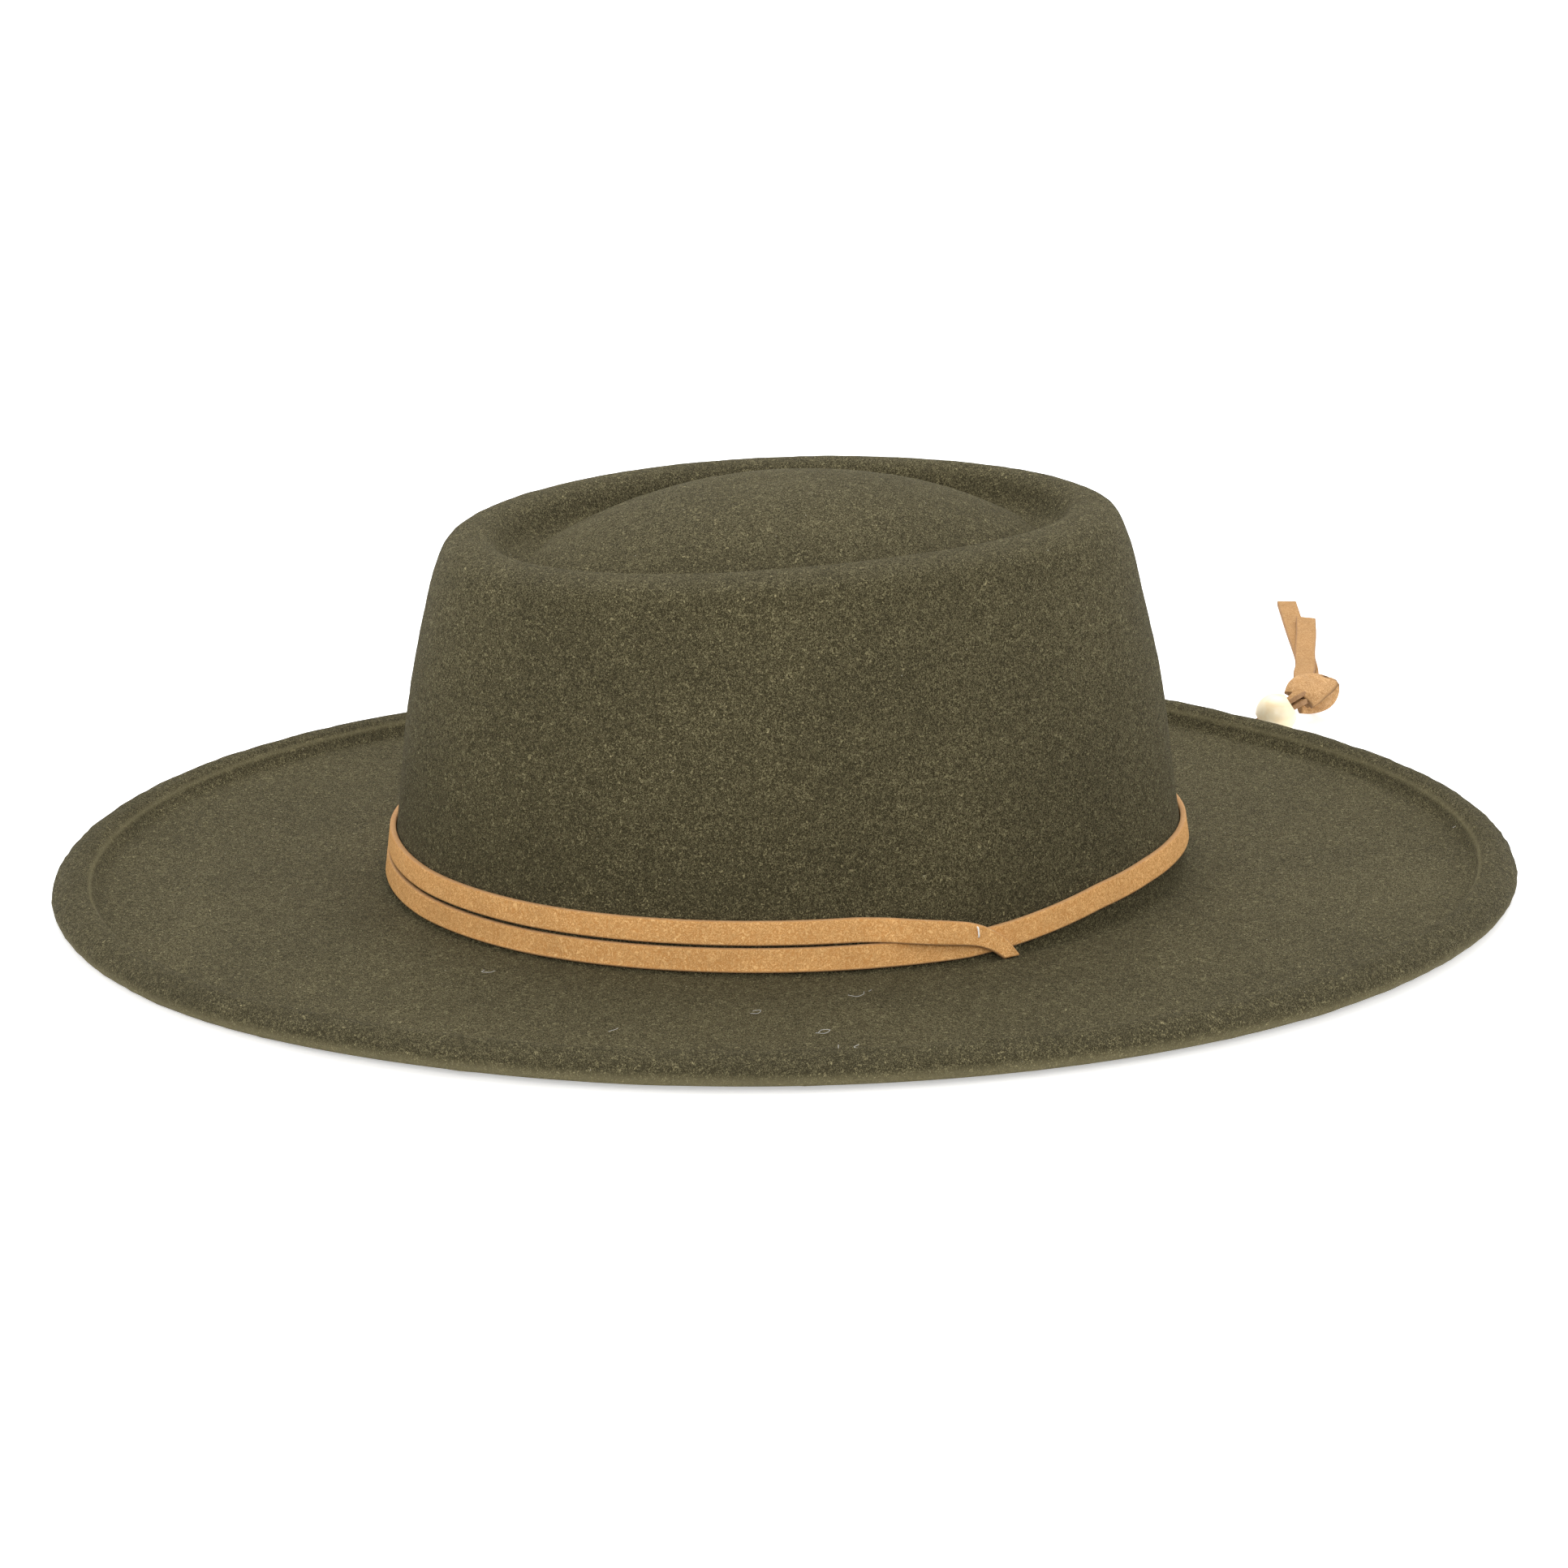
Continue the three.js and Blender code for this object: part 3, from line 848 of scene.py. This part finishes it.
@dataclass
class LaceCut:
    """Flat suede lace, cut from one hide."""

    face: Material
    edge: Material
    width: float = 0.006
    thickness: float = 0.0015
    rounding: float = 0.0004
    across: int = 8

    def strip(
        self, name: str, middle: Array, sides: Array, trim: Array | None = None
    ) -> Piece:
        """Lay a strip along a line and give it its thickness.

        Args:
            name: The piece's name.
            middle: The line that its middle follows, one point a row.
            sides: The direction of its width at each point.
            trim: The share of the width that is left at each point, all of it if not given.

        Returns:
            The strip, not yet dressed.
        """
        rows = len(middle)
        strip, flat = grid_sheet(name, self.across, rows - 1)
        row = np.round((flat[:, 1] + 0.5) * (rows - 1)).astype(int)
        reach = self.width * (np.ones(rows) if trim is None else trim)
        put_vertices(strip, middle[row] + unit(sides)[row] * (flat[:, :1] * reach[row][:, None]))
        self.thicken(strip)
        return strip

    def thicken(self, strip: Piece) -> None:
        """Give a flat strip its thickness and rounded edges.

        Args:
            strip: The strip, as a sheet without thickness.
        """
        wall = strip.modifiers.new("thickness", "SOLIDIFY")
        wall.thickness = self.thickness
        wall.offset = 0.0
        wall.material_offset_rim = 1
        strip.data.materials.append(self.face)
        strip.data.materials.append(self.edge)
        round_edges(strip, self.rounding, 2, 50.0)

    def dress(self, strip: Piece, stands_for: Sequence[str] = ()) -> Piece:
        """Hand a strip over in suede."""
        return hand_over(strip, [self.face, self.edge], stands_for)


@dataclass
class BandLace:
    """One lace laid one and a half times round the foot of the crown, its cut tip on the wearer's left."""

    form: HatForm
    cut: LaceCut
    seat: float = 0.0003
    step_degrees: float = 0.75
    # steps on each side over which its course is smoothed
    smoothing: int = 3
    # the cut tip's angle, height of the lower edge in lace widths, distance off the wall in thicknesses, then
    # how many degrees the upper edge leads, and the width's share
    tip: Rows = (
        (13.75, 0.0, 1.3, 2.5, 0.02), (13.0, 0.2, 1.3, 2.0, 0.4), (12.0, 0.4, 1.28, 1.7, 0.57),
        (10.6, 0.6, 1.25, 1.6, 0.7), (8.6, 0.72, 1.25, 1.2, 0.88), (5.5, 0.84, 1.25, 0.5, 0.97),
        (1.5, 1.0, 1.15, 0.1, 1.0), (-2.0, 1.12, 0.5, 0.0, 1.0),
    )
    # the rest, on the wall at its full width: angle and height
    turns: tuple[Pair, ...] = (
        (-6, 1.19), (-54, 1.2), (-78, 1.28), (-98, 1.5), (-168, 1.3), (-218, 1.1), (-278, 1.1), (-303, 1.12),
        (-314, 1.07), (-327, 0.86), (-337, 0.5), (-343, 0.3), (-351, 0.11), (-368, 0.1), (-414, 0.07),
        (-438, 0.15), (-458, 0.35), (-518, 0.2),
    )

    def make(self) -> Piece:
        """Build and dress the band.

        Returns:
            The band.
        """
        table = np.array([*self.tip, *((angle, height, 0.0, 0.0, 1.0) for angle, height in self.turns)])
        first, last = table[0, 0], table[-1, 0]
        angles = np.linspace(first, last, int((first - last) / self.step_degrees) + 1)
        columns = [np.interp(-angles, -table[:, 0], column) for column in table[:, 1:].T]
        kernel = np.hanning(2 * self.smoothing + 1)
        for column in columns:
            column[self.smoothing:-self.smoothing] = np.convolve(column, kernel / kernel.sum(), "valid")
        low, off, lead, share = columns
        rows = len(angles)
        band, flat = grid_sheet("hat_band", self.cut.across, rows - 1)
        row = np.round((flat[:, 1] + 0.5) * (rows - 1)).astype(int)
        up = flat[:, 0] + 0.5
        gap = self.seat + (off[row] + 0.5) * self.cut.thickness
        heights = (low[row] + up * share[row]) * self.cut.width + self.seat
        put_vertices(band, self.form.off_wall(angles[row] + lead[row] * up, heights, gap))
        self.cut.thicken(band)
        clean_mesh(band)
        return self.cut.dress(band, ["band_lace"])


def level_sides(
    line: Array, start: Sequence[float], least: float = 0.6, ease: float = 0.25
) -> Array:
    """Carry a strip's width direction along a line, turning it level wherever the line is.

    Args:
        line: The points of the line.
        start: The width direction at its first point.
        least: How level the line has to be there, as the cosine of its slope.
        ease: The share of the turn that is made at each point.

    Returns:
        The width direction at each point.
    """
    tangents = unit(np.gradient(line, axis=0))
    side = np.array(start, float)
    found = []
    for tangent in tangents:
        level = np.cross((0.0, 0.0, 1.0), tangent)
        size = np.linalg.norm(level)
        if size > least:
            level = level / size * np.sign(level @ side)
            side = side + ease * (level - side)
        side = unit(side - tangent * (side @ tangent))
        found.append(side)
    return np.array(found)


@dataclass
class ChinCord:
    """Two laces from the sweat line to a bead and a knot behind the hat, with their two free ends."""

    cut: LaceCut
    knot_cut: LaceCut
    bead_finish: Material
    steps: int = 150
    tail_steps: int = 60
    bead_place: Triple = (-0.0866, 0.1721, 0.0060)
    bead_heading: float = 76.0
    bead_tilt: float = 33.0
    bead_radius: float = 0.0059
    bead_bore: float = 0.0048
    bead_faces: tuple[int, int] = (48, 32)
    # how far the bore's two rims are drawn in, across and along
    bead_rim: Triple = (0.97, 0.97, 0.985)
    bead_rounding: float = 0.0005
    # the strands narrow to this share of their width over the last stretch before the knot
    gathered: float = 0.6
    gather_length: float = 0.024
    gather_end: float = 0.75
    knot_place: Triple = (-0.1002, 0.1876, 0.0059)
    knot_heading: float = 72.0
    # rings of the knot's folds, in millimetres: one side's place across and up, the other side's, then how
    # far the near face stands out, how far it is drawn across and up, and how much nearer the ring lies
    sleeve: Rows = (
        (-6.0, 1.0, 0.3, -2.9, 2.4, 1.6, 1.3, 12.0), (-5.5, 2.7, 2.8, -1.0, 3.0, 0.9, 0.7, 10.5),
        (-4.8, 4.1, 4.7, 0.8, 3.5, 0.4, 0.3, 8.0), (-2.7, 5.8, 6.5, 2.2, 3.5, 0.0, 0.0, 5.0),
        (-0.9, 6.1, 7.7, 3.4, 3.0, 0.0, 0.0, 2.5), (1.5, 6.4, 8.2, 4.3, 2.2, 0.0, 0.0, 1.0),
        (4.2, 5.8, 7.6, 4.7, 1.0, 0.0, 0.0, 0.0),
    )
    loop: Rows = (
        (-2.3, -2.6, -1.8, -4.6, 0.7, 0.0, 0.0, 7.0), (0.3, -1.4, 1.7, -4.6, 1.4, 0.0, 0.0, 5.0),
        (2.6, 0.0, 5.4, -3.5, 1.9, 0.0, 0.0, 3.0), (4.5, 1.7, 7.5, -1.7, 1.9, 0.0, 0.0, 1.5),
        (5.9, 3.6, 8.6, 1.0, 1.7, 0.0, 0.0, 0.5), (6.8, 4.8, 8.6, 3.4, 1.0, 0.0, 0.0, 0.0),
    )
    # the angle at which each fold starts, how far it goes round, and how far behind the middle it lies
    sleeve_sweep: Triple = (16.0, 322.0, 0.0)
    loop_sweep: Triple = (0.0, 356.0, 0.0026)
    fold_steps: tuple[int, int] = (36, 56)
    # the folded lace inside, in millimetres across, away and up
    core_place: Triple = (2.9, 0.3, 1.1)
    core_size: Triple = (4.3, 6.6, 4.0)
    core_faces: tuple[int, int] = (40, 24)
    # how far a fold is raised, and drawn to the left, for each step that it comes nearer
    sight_rise: float = 0.275
    sight_drift: float = -0.097
    # the laces' middle lines, in millimetres: the frame's own as far as the bead
    left: Path = (
        (80.2, 0, 22), (81.5, 0, 16), (81.5, 0, 9), (77.8, 0, 3.6), (70.5, 0, 1), (59.5, -1.5, 0.75),
        (44, -5, 0.75), (26, -6, 0.75), (6.2, 1.1, 0.75), (-12, 15.3, 0.75), (-29.9, 31.5, 0.75),
        (-46, 46.4, 0.75), (-60.8, 59.5, 0.75), (-78.3, 75.1, 0.75), (-98.1, 92.5, 0.75),
        (-114, 105.9, 0.75), (-124.2, 114.6, 0.75), (-127.4, 118.2, 0.75), (-128.5, 121.6, 0.75),
        (-128.2, 125.2, 0.75), (-124.3, 131.8, 0.75), (-119.7, 137, 1.3), (-115.3, 141.6, 2.5),
        (-110.4, 146.5, 3.1), (-104.9, 151.6, 3.3), (-100.3, 155.9, 3.4), (-96, 159.6, 3.2),
        (-91.6, 162.9, 2.9), (-88.15, 166.05, 3.39), (-86.73, 171.75, 7.2), (-85.39, 177.12, 10.9),
        (-87.7, 179.3, 11.0), (-90.4, 181.4, 10.2), (-93.3, 183.6, 9.2),
    )
    right: Path = (
        (-80.2, 0, 22), (-81.5, 0, 16), (-81.5, 0, 9), (-77.8, 0, 3.6), (-70.5, 0, 1),
        (-60.5, -5, 0.75), (-48, -18, 0.75), (-33, -26, 0.75), (-18, -25, 0.75), (-10, -14, 0.75),
        (-14.1, 0, 0.75), (-30.2, 15.3, 0.75), (-47.7, 34, 0.75), (-65.4, 54.3, 0.75),
        (-83.1, 69.7, 0.75), (-102.9, 87.2, 0.75), (-120.9, 102.4, 0.75), (-133.2, 113.1, 0.75),
        (-136.2, 116.4, 0.75), (-137.4, 120, 0.75), (-137.1, 123.6, 0.75), (-132.1, 132.3, 0.75),
        (-124.3, 141.6, 0.75), (-117.8, 147.6, 0.75), (-111.2, 151, 0.75), (-104.6, 154.1, 0.95),
        (-99.8, 157.2, 1.2), (-95.6, 160.6, 1.2), (-91.2, 164, 1.2), (-87.9, 167.06, 1.79),
        (-86.48, 172.75, 5.6), (-85.14, 178.12, 9.0), (-87.5, 180.1, 8.8), (-90.4, 182, 8.1), (-93.2, 184, 7.3),
    )
    tail_long: Path = (
        (-101.3, 189.9, 8.3), (-107.2, 191.6, 5.6), (-118.7, 195.2, 3.2), (-130.4, 200.7, 1.6),
        (-142.2, 206.5, 0.8), (-159.3, 212.8, 0.75), (-189.5, 222.9, 0.75), (-222.4, 234.1, 0.75),
    )
    tail_short: Path = (
        (-101.2, 190.4, 10.1), (-107, 191.9, 7.7), (-119, 195.2, 5.5), (-131, 200, 3.9), (-143, 205.8, 2.8),
        (-158, 212.2, 2.55), (-178, 221.3, 2.4), (-196.4, 229.2, 2.3),
    )
    tail_lean: float = 4.0

    def make(self) -> None:
        knot = self.knot()
        bead = self.bead()
        for name, points, start, node in (
            ("cord_left", self.left, (0.0, -1.0, 0.0), "chin_lace_left"),
            ("cord_right", self.right, (0.0, 1.0, 0.0), "chin_lace_right"),
        ):
            line = smooth_line(points, self.steps) * MM
            ahead = np.linspace(length_of(line), 0.0, len(line)) / self.gather_length
            trim = self.gathered + (1.0 - self.gathered) * np.clip(ahead - self.gather_end, 0.0, 1.0)
            lace = self.cut.strip(name, line, level_sides(line, start), trim)
            self.cut.dress(lace, [node])
        for name, points, lean, node in (
            ("cord_end_long", self.tail_long, 0.0, "tail_end_long"),
            ("cord_end_short", self.tail_short, self.tail_lean, "tail_end_short"),
        ):
            line = smooth_line(points, self.tail_steps) * MM
            sides = level_sides(line, np.cross((0.0, 0.0, 1.0), line[1] - line[0]))
            tilt = np.radians(lean) * np.linspace(0.0, 1.0, len(line)) ** 2
            ups = np.cross(unit(np.gradient(line, axis=0)), sides)
            sides = sides * np.cos(tilt)[:, None] + ups * np.sin(tilt)[:, None]
            tail = self.cut.strip(name, line, sides)
            self.cut.dress(tail, [node])

    def bead(self) -> Piece:
        """Turn the bead, bore it and lay it on its laces.

        Returns:
            The bead.
        """
        deselect()
        segments, rings = self.bead_faces
        bpy.ops.mesh.primitive_uv_sphere_add(segments=segments, ring_count=rings, radius=self.bead_radius)
        bead = bpy.context.object
        bead.name = bead.data.name = "cord_bead"
        bore = self.bead_bore / 2
        to_mode("EDIT")
        bpy.ops.mesh.select_all(action="DESELECT")
        to_mode("OBJECT")
        for vertex in bead.data.vertices:
            vertex.select = math.hypot(vertex.co.x, vertex.co.y) < bore
        to_mode("EDIT")
        bpy.ops.mesh.select_mode(type="VERT")
        bpy.ops.mesh.delete(type="VERT")
        bpy.ops.mesh.select_all(action="SELECT")
        bpy.ops.mesh.region_to_loop()
        bpy.ops.transform.resize(value=self.bead_rim)
        bpy.ops.mesh.bridge_edge_loops(number_cuts=6)
        to_mode("OBJECT")
        clean_mesh(bead)
        turn = (Matrix.Rotation(math.radians(self.bead_heading), 4, "Z")
                @ Matrix.Rotation(math.radians(90.0 - self.bead_tilt), 4, "Y"))
        bead.data.transform(Matrix.Translation(self.bead_place) @ turn)
        round_edges(bead, self.bead_rounding, 3, 40.0)
        return hand_over(bead, [self.bead_finish], ["slider_bead"])

    def fold(
        self, name: str, rings: Points, begin: float, sweep: float, behind: float
    ) -> Piece:
        """Fold a sheet of lace round the knot.

        Args:
            name: The fold's name.
            rings: Its rings, as in sleeve.
            begin: The angle round the ring, in degrees, at which the sheet starts.
            sweep: How far round the ring it goes.
            behind: How far behind the knot's middle it lies.

        Returns:
            The fold, in suede with a dark cut edge.
        """
        heading = math.radians(self.knot_heading)
        across = np.array([math.cos(heading), math.sin(heading), 0.0])
        away = np.array([-math.sin(heading), math.cos(heading), 0.0])
        up = np.array([0.0, 0.0, 1.0])
        lengthwise, around = self.fold_steps
        sheet, flat = grid_sheet(name, lengthwise, around)
        table = smooth_line(rings, lengthwise + 1) * MM
        row = table[np.round((flat[:, 0] + 0.5) * lengthwise).astype(int)]
        angle = np.radians(begin + sweep * (flat[:, 1] + 0.5))
        middle = (row[:, 0:2] + row[:, 2:4]) / 2
        reach = (row[:, 2:4] - row[:, 0:2]) / 2
        cos, sin = np.cos(angle)[:, None], np.sin(angle)[:, None]
        place = middle + reach * cos + row[:, 5:7] * np.maximum(sin, 0.0)
        place += row[:, 7:8] * np.array([self.sight_drift, self.sight_rise])
        depth = behind - row[:, 7] - row[:, 4] * sin[:, 0]
        centre = np.array(self.knot_place)
        places = centre + np.outer(place[:, 0], across) + np.outer(place[:, 1], up) + np.outer(depth, away)
        put_vertices(sheet, places)
        # the UV across holds how near each point lies to the sheet's edge, where the knot's painted shadow is
        # laid
        corner = np.zeros(len(sheet.data.loops), np.int32)
        sheet.data.loops.foreach_get("vertex_index", corner)
        to_edge = 0.5 + np.abs(flat[:, :2]).max(axis=1)
        spread = np.stack([to_edge[corner], flat[corner, 1] + 0.5], axis=1)
        sheet.data.uv_layers.active.data.foreach_set("uv", spread.astype(np.float32).ravel())
        self.knot_cut.thicken(sheet)
        return sheet

    def knot(self) -> Piece:
        """Tie the knot: a fold of lace that the strands run into, and a loop drawn tight behind it.

        Returns:
            The knot.
        """
        sleeve = self.fold("sleeve", self.sleeve, *self.sleeve_sweep)
        loop = self.fold("loop", self.loop, *self.loop_sweep)
        deselect()
        segments, rings = self.core_faces
        bpy.ops.mesh.primitive_uv_sphere_add(segments=segments, ring_count=rings, radius=MM)
        core = bpy.context.object
        turn = Matrix.Rotation(math.radians(self.knot_heading), 4, "Z")
        place = turn @ Vector([step * MM for step in self.core_place])
        shape = turn @ Matrix.Diagonal((*self.core_size, 1.0))
        core.data.transform(Matrix.Translation(Vector(self.knot_place) + place) @ shape)
        core.data.materials.append(self.knot_cut.face)
        pick(sleeve, loop, core)
        bpy.ops.object.join()
        knot = bpy.context.object
        knot.name = knot.data.name = "cord_knot"
        bpy.ops.object.shade_smooth()
        return self.knot_cut.dress(knot, ["tail_knot"])


@dataclass
class SewingThread:
    """The white tack that holds the band's tip, and loose fibres on the brim."""

    form: HatForm
    white: Material
    radius: float = 0.00022
    tack: Triple = (10.25, 0.0088, 0.0039)
    tack_drop: float = 0.0024
    # shares of the drop at the tack's five points, and how far each stands out
    tack_shares: tuple[float, ...] = (0.0, 0.06, 0.5, 0.94, 1.0)
    tack_rises: tuple[float, ...] = (-0.0008, 0.0001, 0.00015, 0.0001, -0.0008)
    strand_steps: int = 12
    lint_radius: float = 0.000035
    # loose fibres on the brim, in millimetres
    lint: tuple[Path, ...] = (
        ((151.3, -37.9, 7.9), (154.5, -39, 8.1), (157.3, -39.8, 7.9), (158.2, -37, 7.8), (158.6, -34, 7.8)),
        ((158.4, -34.2, 7.9), (156.2, -33, 8.1), (154.8, -35.4, 8.2), (153, -33.6, 8.1)),
        ((113.2, -46.8, 3.9), (114.8, -45.4, 4.3), (113.4, -44.4, 4.5), (112.4, -46, 4.2)),
        ((131.4, -36.8, 4.1), (133.5, -35.2, 4.5), (131.8, -33.4, 4.6), (130.6, -35, 4.4), (132.2, -36.4, 4.3)),
        ((106.9, -20.6, 3.8), (109.4, -19.2, 4.1), (108.6, -17.4, 4.2), (106.2, -16.4, 4.0)),
        ((105.5, -15, 3.7), (105.9, -14.4, 4.2)),
        ((116.8, -82.4, 4.2), (117.2, -80.8, 4.7), (116.2, -79.9, 4.6)),
        ((66.1, -96.1, 4.2), (68, -98, 4.6), (66.8, -99.6, 4.5), (65.2, -98.4, 4.4)),
        ((23.7, 175.2, 4), (24.1, 175.9, 4.5)),
    )

    def strand(self, name: str, points: Points, radius: float) -> Piece:
        """Lay a thin round strand along a line and make it a mesh.

        Args:
            name: The strand's name.
            points: The points that it passes.
            radius: Half its thickness.

        Returns:
            The strand, not yet dressed.
        """
        curve = bpy.data.curves.new(name, "CURVE")
        curve.dimensions = "3D"
        curve.bevel_depth = radius
        curve.bevel_resolution = 2
        curve.use_fill_caps = True
        spline = curve.splines.new("POLY")
        line = smooth_line(points, self.strand_steps)
        spline.points.add(len(line) - 1)
        for point, place in zip(spline.points, line):
            point.co = (*place, 1.0)
        strand = bpy.data.objects.new(name, curve)
        bpy.context.scene.collection.objects.link(strand)
        pick(strand)
        bpy.ops.object.convert(target="MESH")
        return bpy.context.object

    def make(self) -> Piece:
        """Sew the tack on the band and let the loose fibres fall.

        Returns:
            The tack with the fibres.
        """
        angle, height, off = self.tack
        heights = height - self.tack_drop * np.array(self.tack_shares)
        places = self.form.off_wall(np.full(len(heights), angle), heights, off + np.array(self.tack_rises))
        tack = self.strand("band_tack", places, self.radius)
        loose = [self.strand("lint", np.array(points) * MM, self.lint_radius) for points in self.lint]
        pick(tack, *loose)
        bpy.ops.object.join()
        tack.name = tack.data.name = "band_tack"
        return hand_over(tack, [self.white])


@dataclass
class Studio:
    """Plain pale floor, soft light and the camera at the photograph's angle."""

    azimuth: float = 72.0
    elevation: float = 16.2885
    roll: float = -0.3183
    distance: float = 1.3
    focal_share: float = 4.814
    aim_right: float = -0.0020
    aim_up: float = 0.02416
    # the focal share is for a frame of the first size, in a picture of the second
    fitted_pixels: float = 1300.0
    frame_pixels: float = 1932.0
    sensor: float = 36.0
    clip: Pair = (0.05, 50.0)
    floor_tone: Triple = (0.9, 0.9, 0.9)
    floor_glow: float = 0.45
    floor_size: float = 16.0
    # name, place, size, energy
    panels: tuple[tuple[str, Triple, float, float], ...] = (
        ("top_panel", (-0.75, 0.26, 1.5), 1.6, 32.0),
        ("left_panel", (0.7, -1.5, 0.9), 1.0, 6.5),
        ("right_panel", (1.1, 1.3, 0.9), 1.0, 6.5),
        ("front_panel", (1.9, -0.6, 1.0), 1.0, 14.5),
    )
    sky: float = 0.75

    def camera(self) -> None:
        """Set up the camera."""
        a, e, r = (math.radians(value) for value in (self.azimuth, self.elevation, self.roll))
        back = Vector((math.sin(a) * math.cos(e), -math.cos(a) * math.cos(e), math.sin(e)))
        right = Vector((math.cos(a), math.sin(a), 0.0))
        up = back.cross(right)
        aim = right * self.aim_right + Vector((0.0, 0.0, self.aim_up))
        deselect()
        bpy.ops.object.camera_add()
        camera = bpy.context.object
        level = right * math.cos(r) - up * math.sin(r)
        tall = right * math.sin(r) + up * math.cos(r)
        turn = Matrix((level, tall, back)).transposed().to_4x4()
        camera.matrix_world = Matrix.Translation(aim + back * self.distance) @ turn
        camera.data.sensor_width = self.sensor
        camera.data.lens = self.sensor * self.focal_share * self.fitted_pixels / self.frame_pixels
        camera.data.clip_start, camera.data.clip_end = self.clip
        bpy.context.scene.camera = camera

    def floor(self) -> None:
        """Lay the floor."""
        deselect()
        bpy.ops.mesh.primitive_plane_add(size=self.floor_size, location=(0.0, 0.0, 0.0))
        floor = bpy.context.object
        floor.name = "floor"
        paper = bpy.data.materials.new("studio_paper")
        paper.use_nodes = True
        shader = paper.node_tree.nodes["Principled BSDF"]
        for name, value in (("Base Color", (*self.floor_tone, 1.0)), ("Roughness", 0.9),
                            ("Emission Color", (1.0,) * 4), ("Emission Strength", self.floor_glow)):
            shader.inputs[name].default_value = value
        floor.data.materials.append(paper)

    def light(self) -> None:
        """Hang the panels and set the pale surroundings."""
        for name, place, size, energy in self.panels:
            deselect()
            bpy.ops.object.light_add(type="AREA", location=place)
            panel = bpy.context.object
            panel.name = name
            panel.data.shape = "DISK"
            panel.data.size = size
            panel.data.energy = energy
            panel.rotation_euler = (-Vector(place)).to_track_quat("-Z", "Y").to_euler()
        world = bpy.data.worlds.new("surroundings")
        bpy.context.scene.world = world
        world.use_nodes = True
        sky = world.node_tree.nodes["Background"]
        sky.inputs["Color"].default_value = (1.0, 1.0, 1.0, 1.0)
        sky.inputs["Strength"].default_value = self.sky
        bpy.context.scene.view_settings.view_transform = "Standard"

    def make(self) -> None:
        """Set up the whole studio."""
        self.camera()
        self.floor()
        self.light()


def main() -> None:
    """Build the studio and the hat's pieces in order; each piece's triangles are logged."""
    logging.basicConfig(level=logging.INFO, format="%(name)s %(message)s")
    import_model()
    Studio().make()
    nap = nap_group()
    felt = NapFinish("wool_felt", nap, (0.034, 0.028, 0.012), (0.1, 0.084, 0.041), (0.29, 0.252, 0.132),
                     2900.0, 900.0, 0.3 * MM, 0.12, fleck_share=0.004, rolled=True)
    # the band's and the knot's suede are lighter copies of the cord's, painted lighter because the upright band
    # and the knot facing the camera get less of the top light than the laces lying on the table
    suede = NapFinish("suede_band_painted_light", nap, (0.56, 0.27, 0.085), (0.74, 0.4, 0.145), (0.85, 0.52, 0.22),
                      bump=0.06 * MM, patch=90.0, patch_depth=0.07, dark_edge=(0.42, 0.24, 0.12))
    cord_suede = NapFinish("suede_cord", nap, (0.31, 0.162, 0.062), (0.4, 0.232, 0.096), (0.48, 0.295, 0.14),
                           patch=90.0, patch_depth=0.07, dark_edge=(0.28, 0.16, 0.085))
    # its near-black edge colour is a painted shadow in the gaps between the knot's folds
    knot_suede_painted_light = NapFinish("suede_knot_painted_light", nap, (0.36, 0.195, 0.08), (0.48, 0.285, 0.125), (0.57, 0.355, 0.175),
                           patch=150.0, dark_edge=(0.07, 0.034, 0.016))
    # the knot's cut edges, far darker than the laces' cut edges: the cut's own dark colour with painted shade
    # of the gaps between the folds
    knot_edge_and_shade = NapFinish("knot_cut", nap, (0.08, 0.04, 0.02), (0.13, 0.068, 0.032), (0.2, 0.11, 0.055),
                          sheen=0.05, patch=90.0)
    cut_edge = NapFinish("suede_cut", nap, (0.2, 0.1, 0.045), (0.32, 0.175, 0.085), (0.42, 0.25, 0.13),
                         bump=0.06 * MM, patch=90.0)
    bone = PolishFinish("bead_cream", (0.86, 0.75, 0.53), (0.8, 0.6, 0.32), 0.42, 0.25)
    cotton = PolishFinish("thread_white", (0.85, 0.83, 0.78), (0.7, 0.68, 0.62), 0.7, 0.0, 2000.0)
    form = HatForm()
    edge = cut_edge.material()
    lace = LaceCut(suede.material(), edge)
    cord_cut = LaceCut(cord_suede.material(), edge)
    knot_cut = LaceCut(knot_suede_painted_light.material(), knot_edge_and_shade.material(), rounding=0.00022)
    ChinCord(cord_cut, knot_cut, bone.material()).make()
    FeltShell(form, felt.material()).make()
    BandLace(form, lace).make()
    SewingThread(form, cotton.material()).make()


if __name__ == "__main__":
    main()
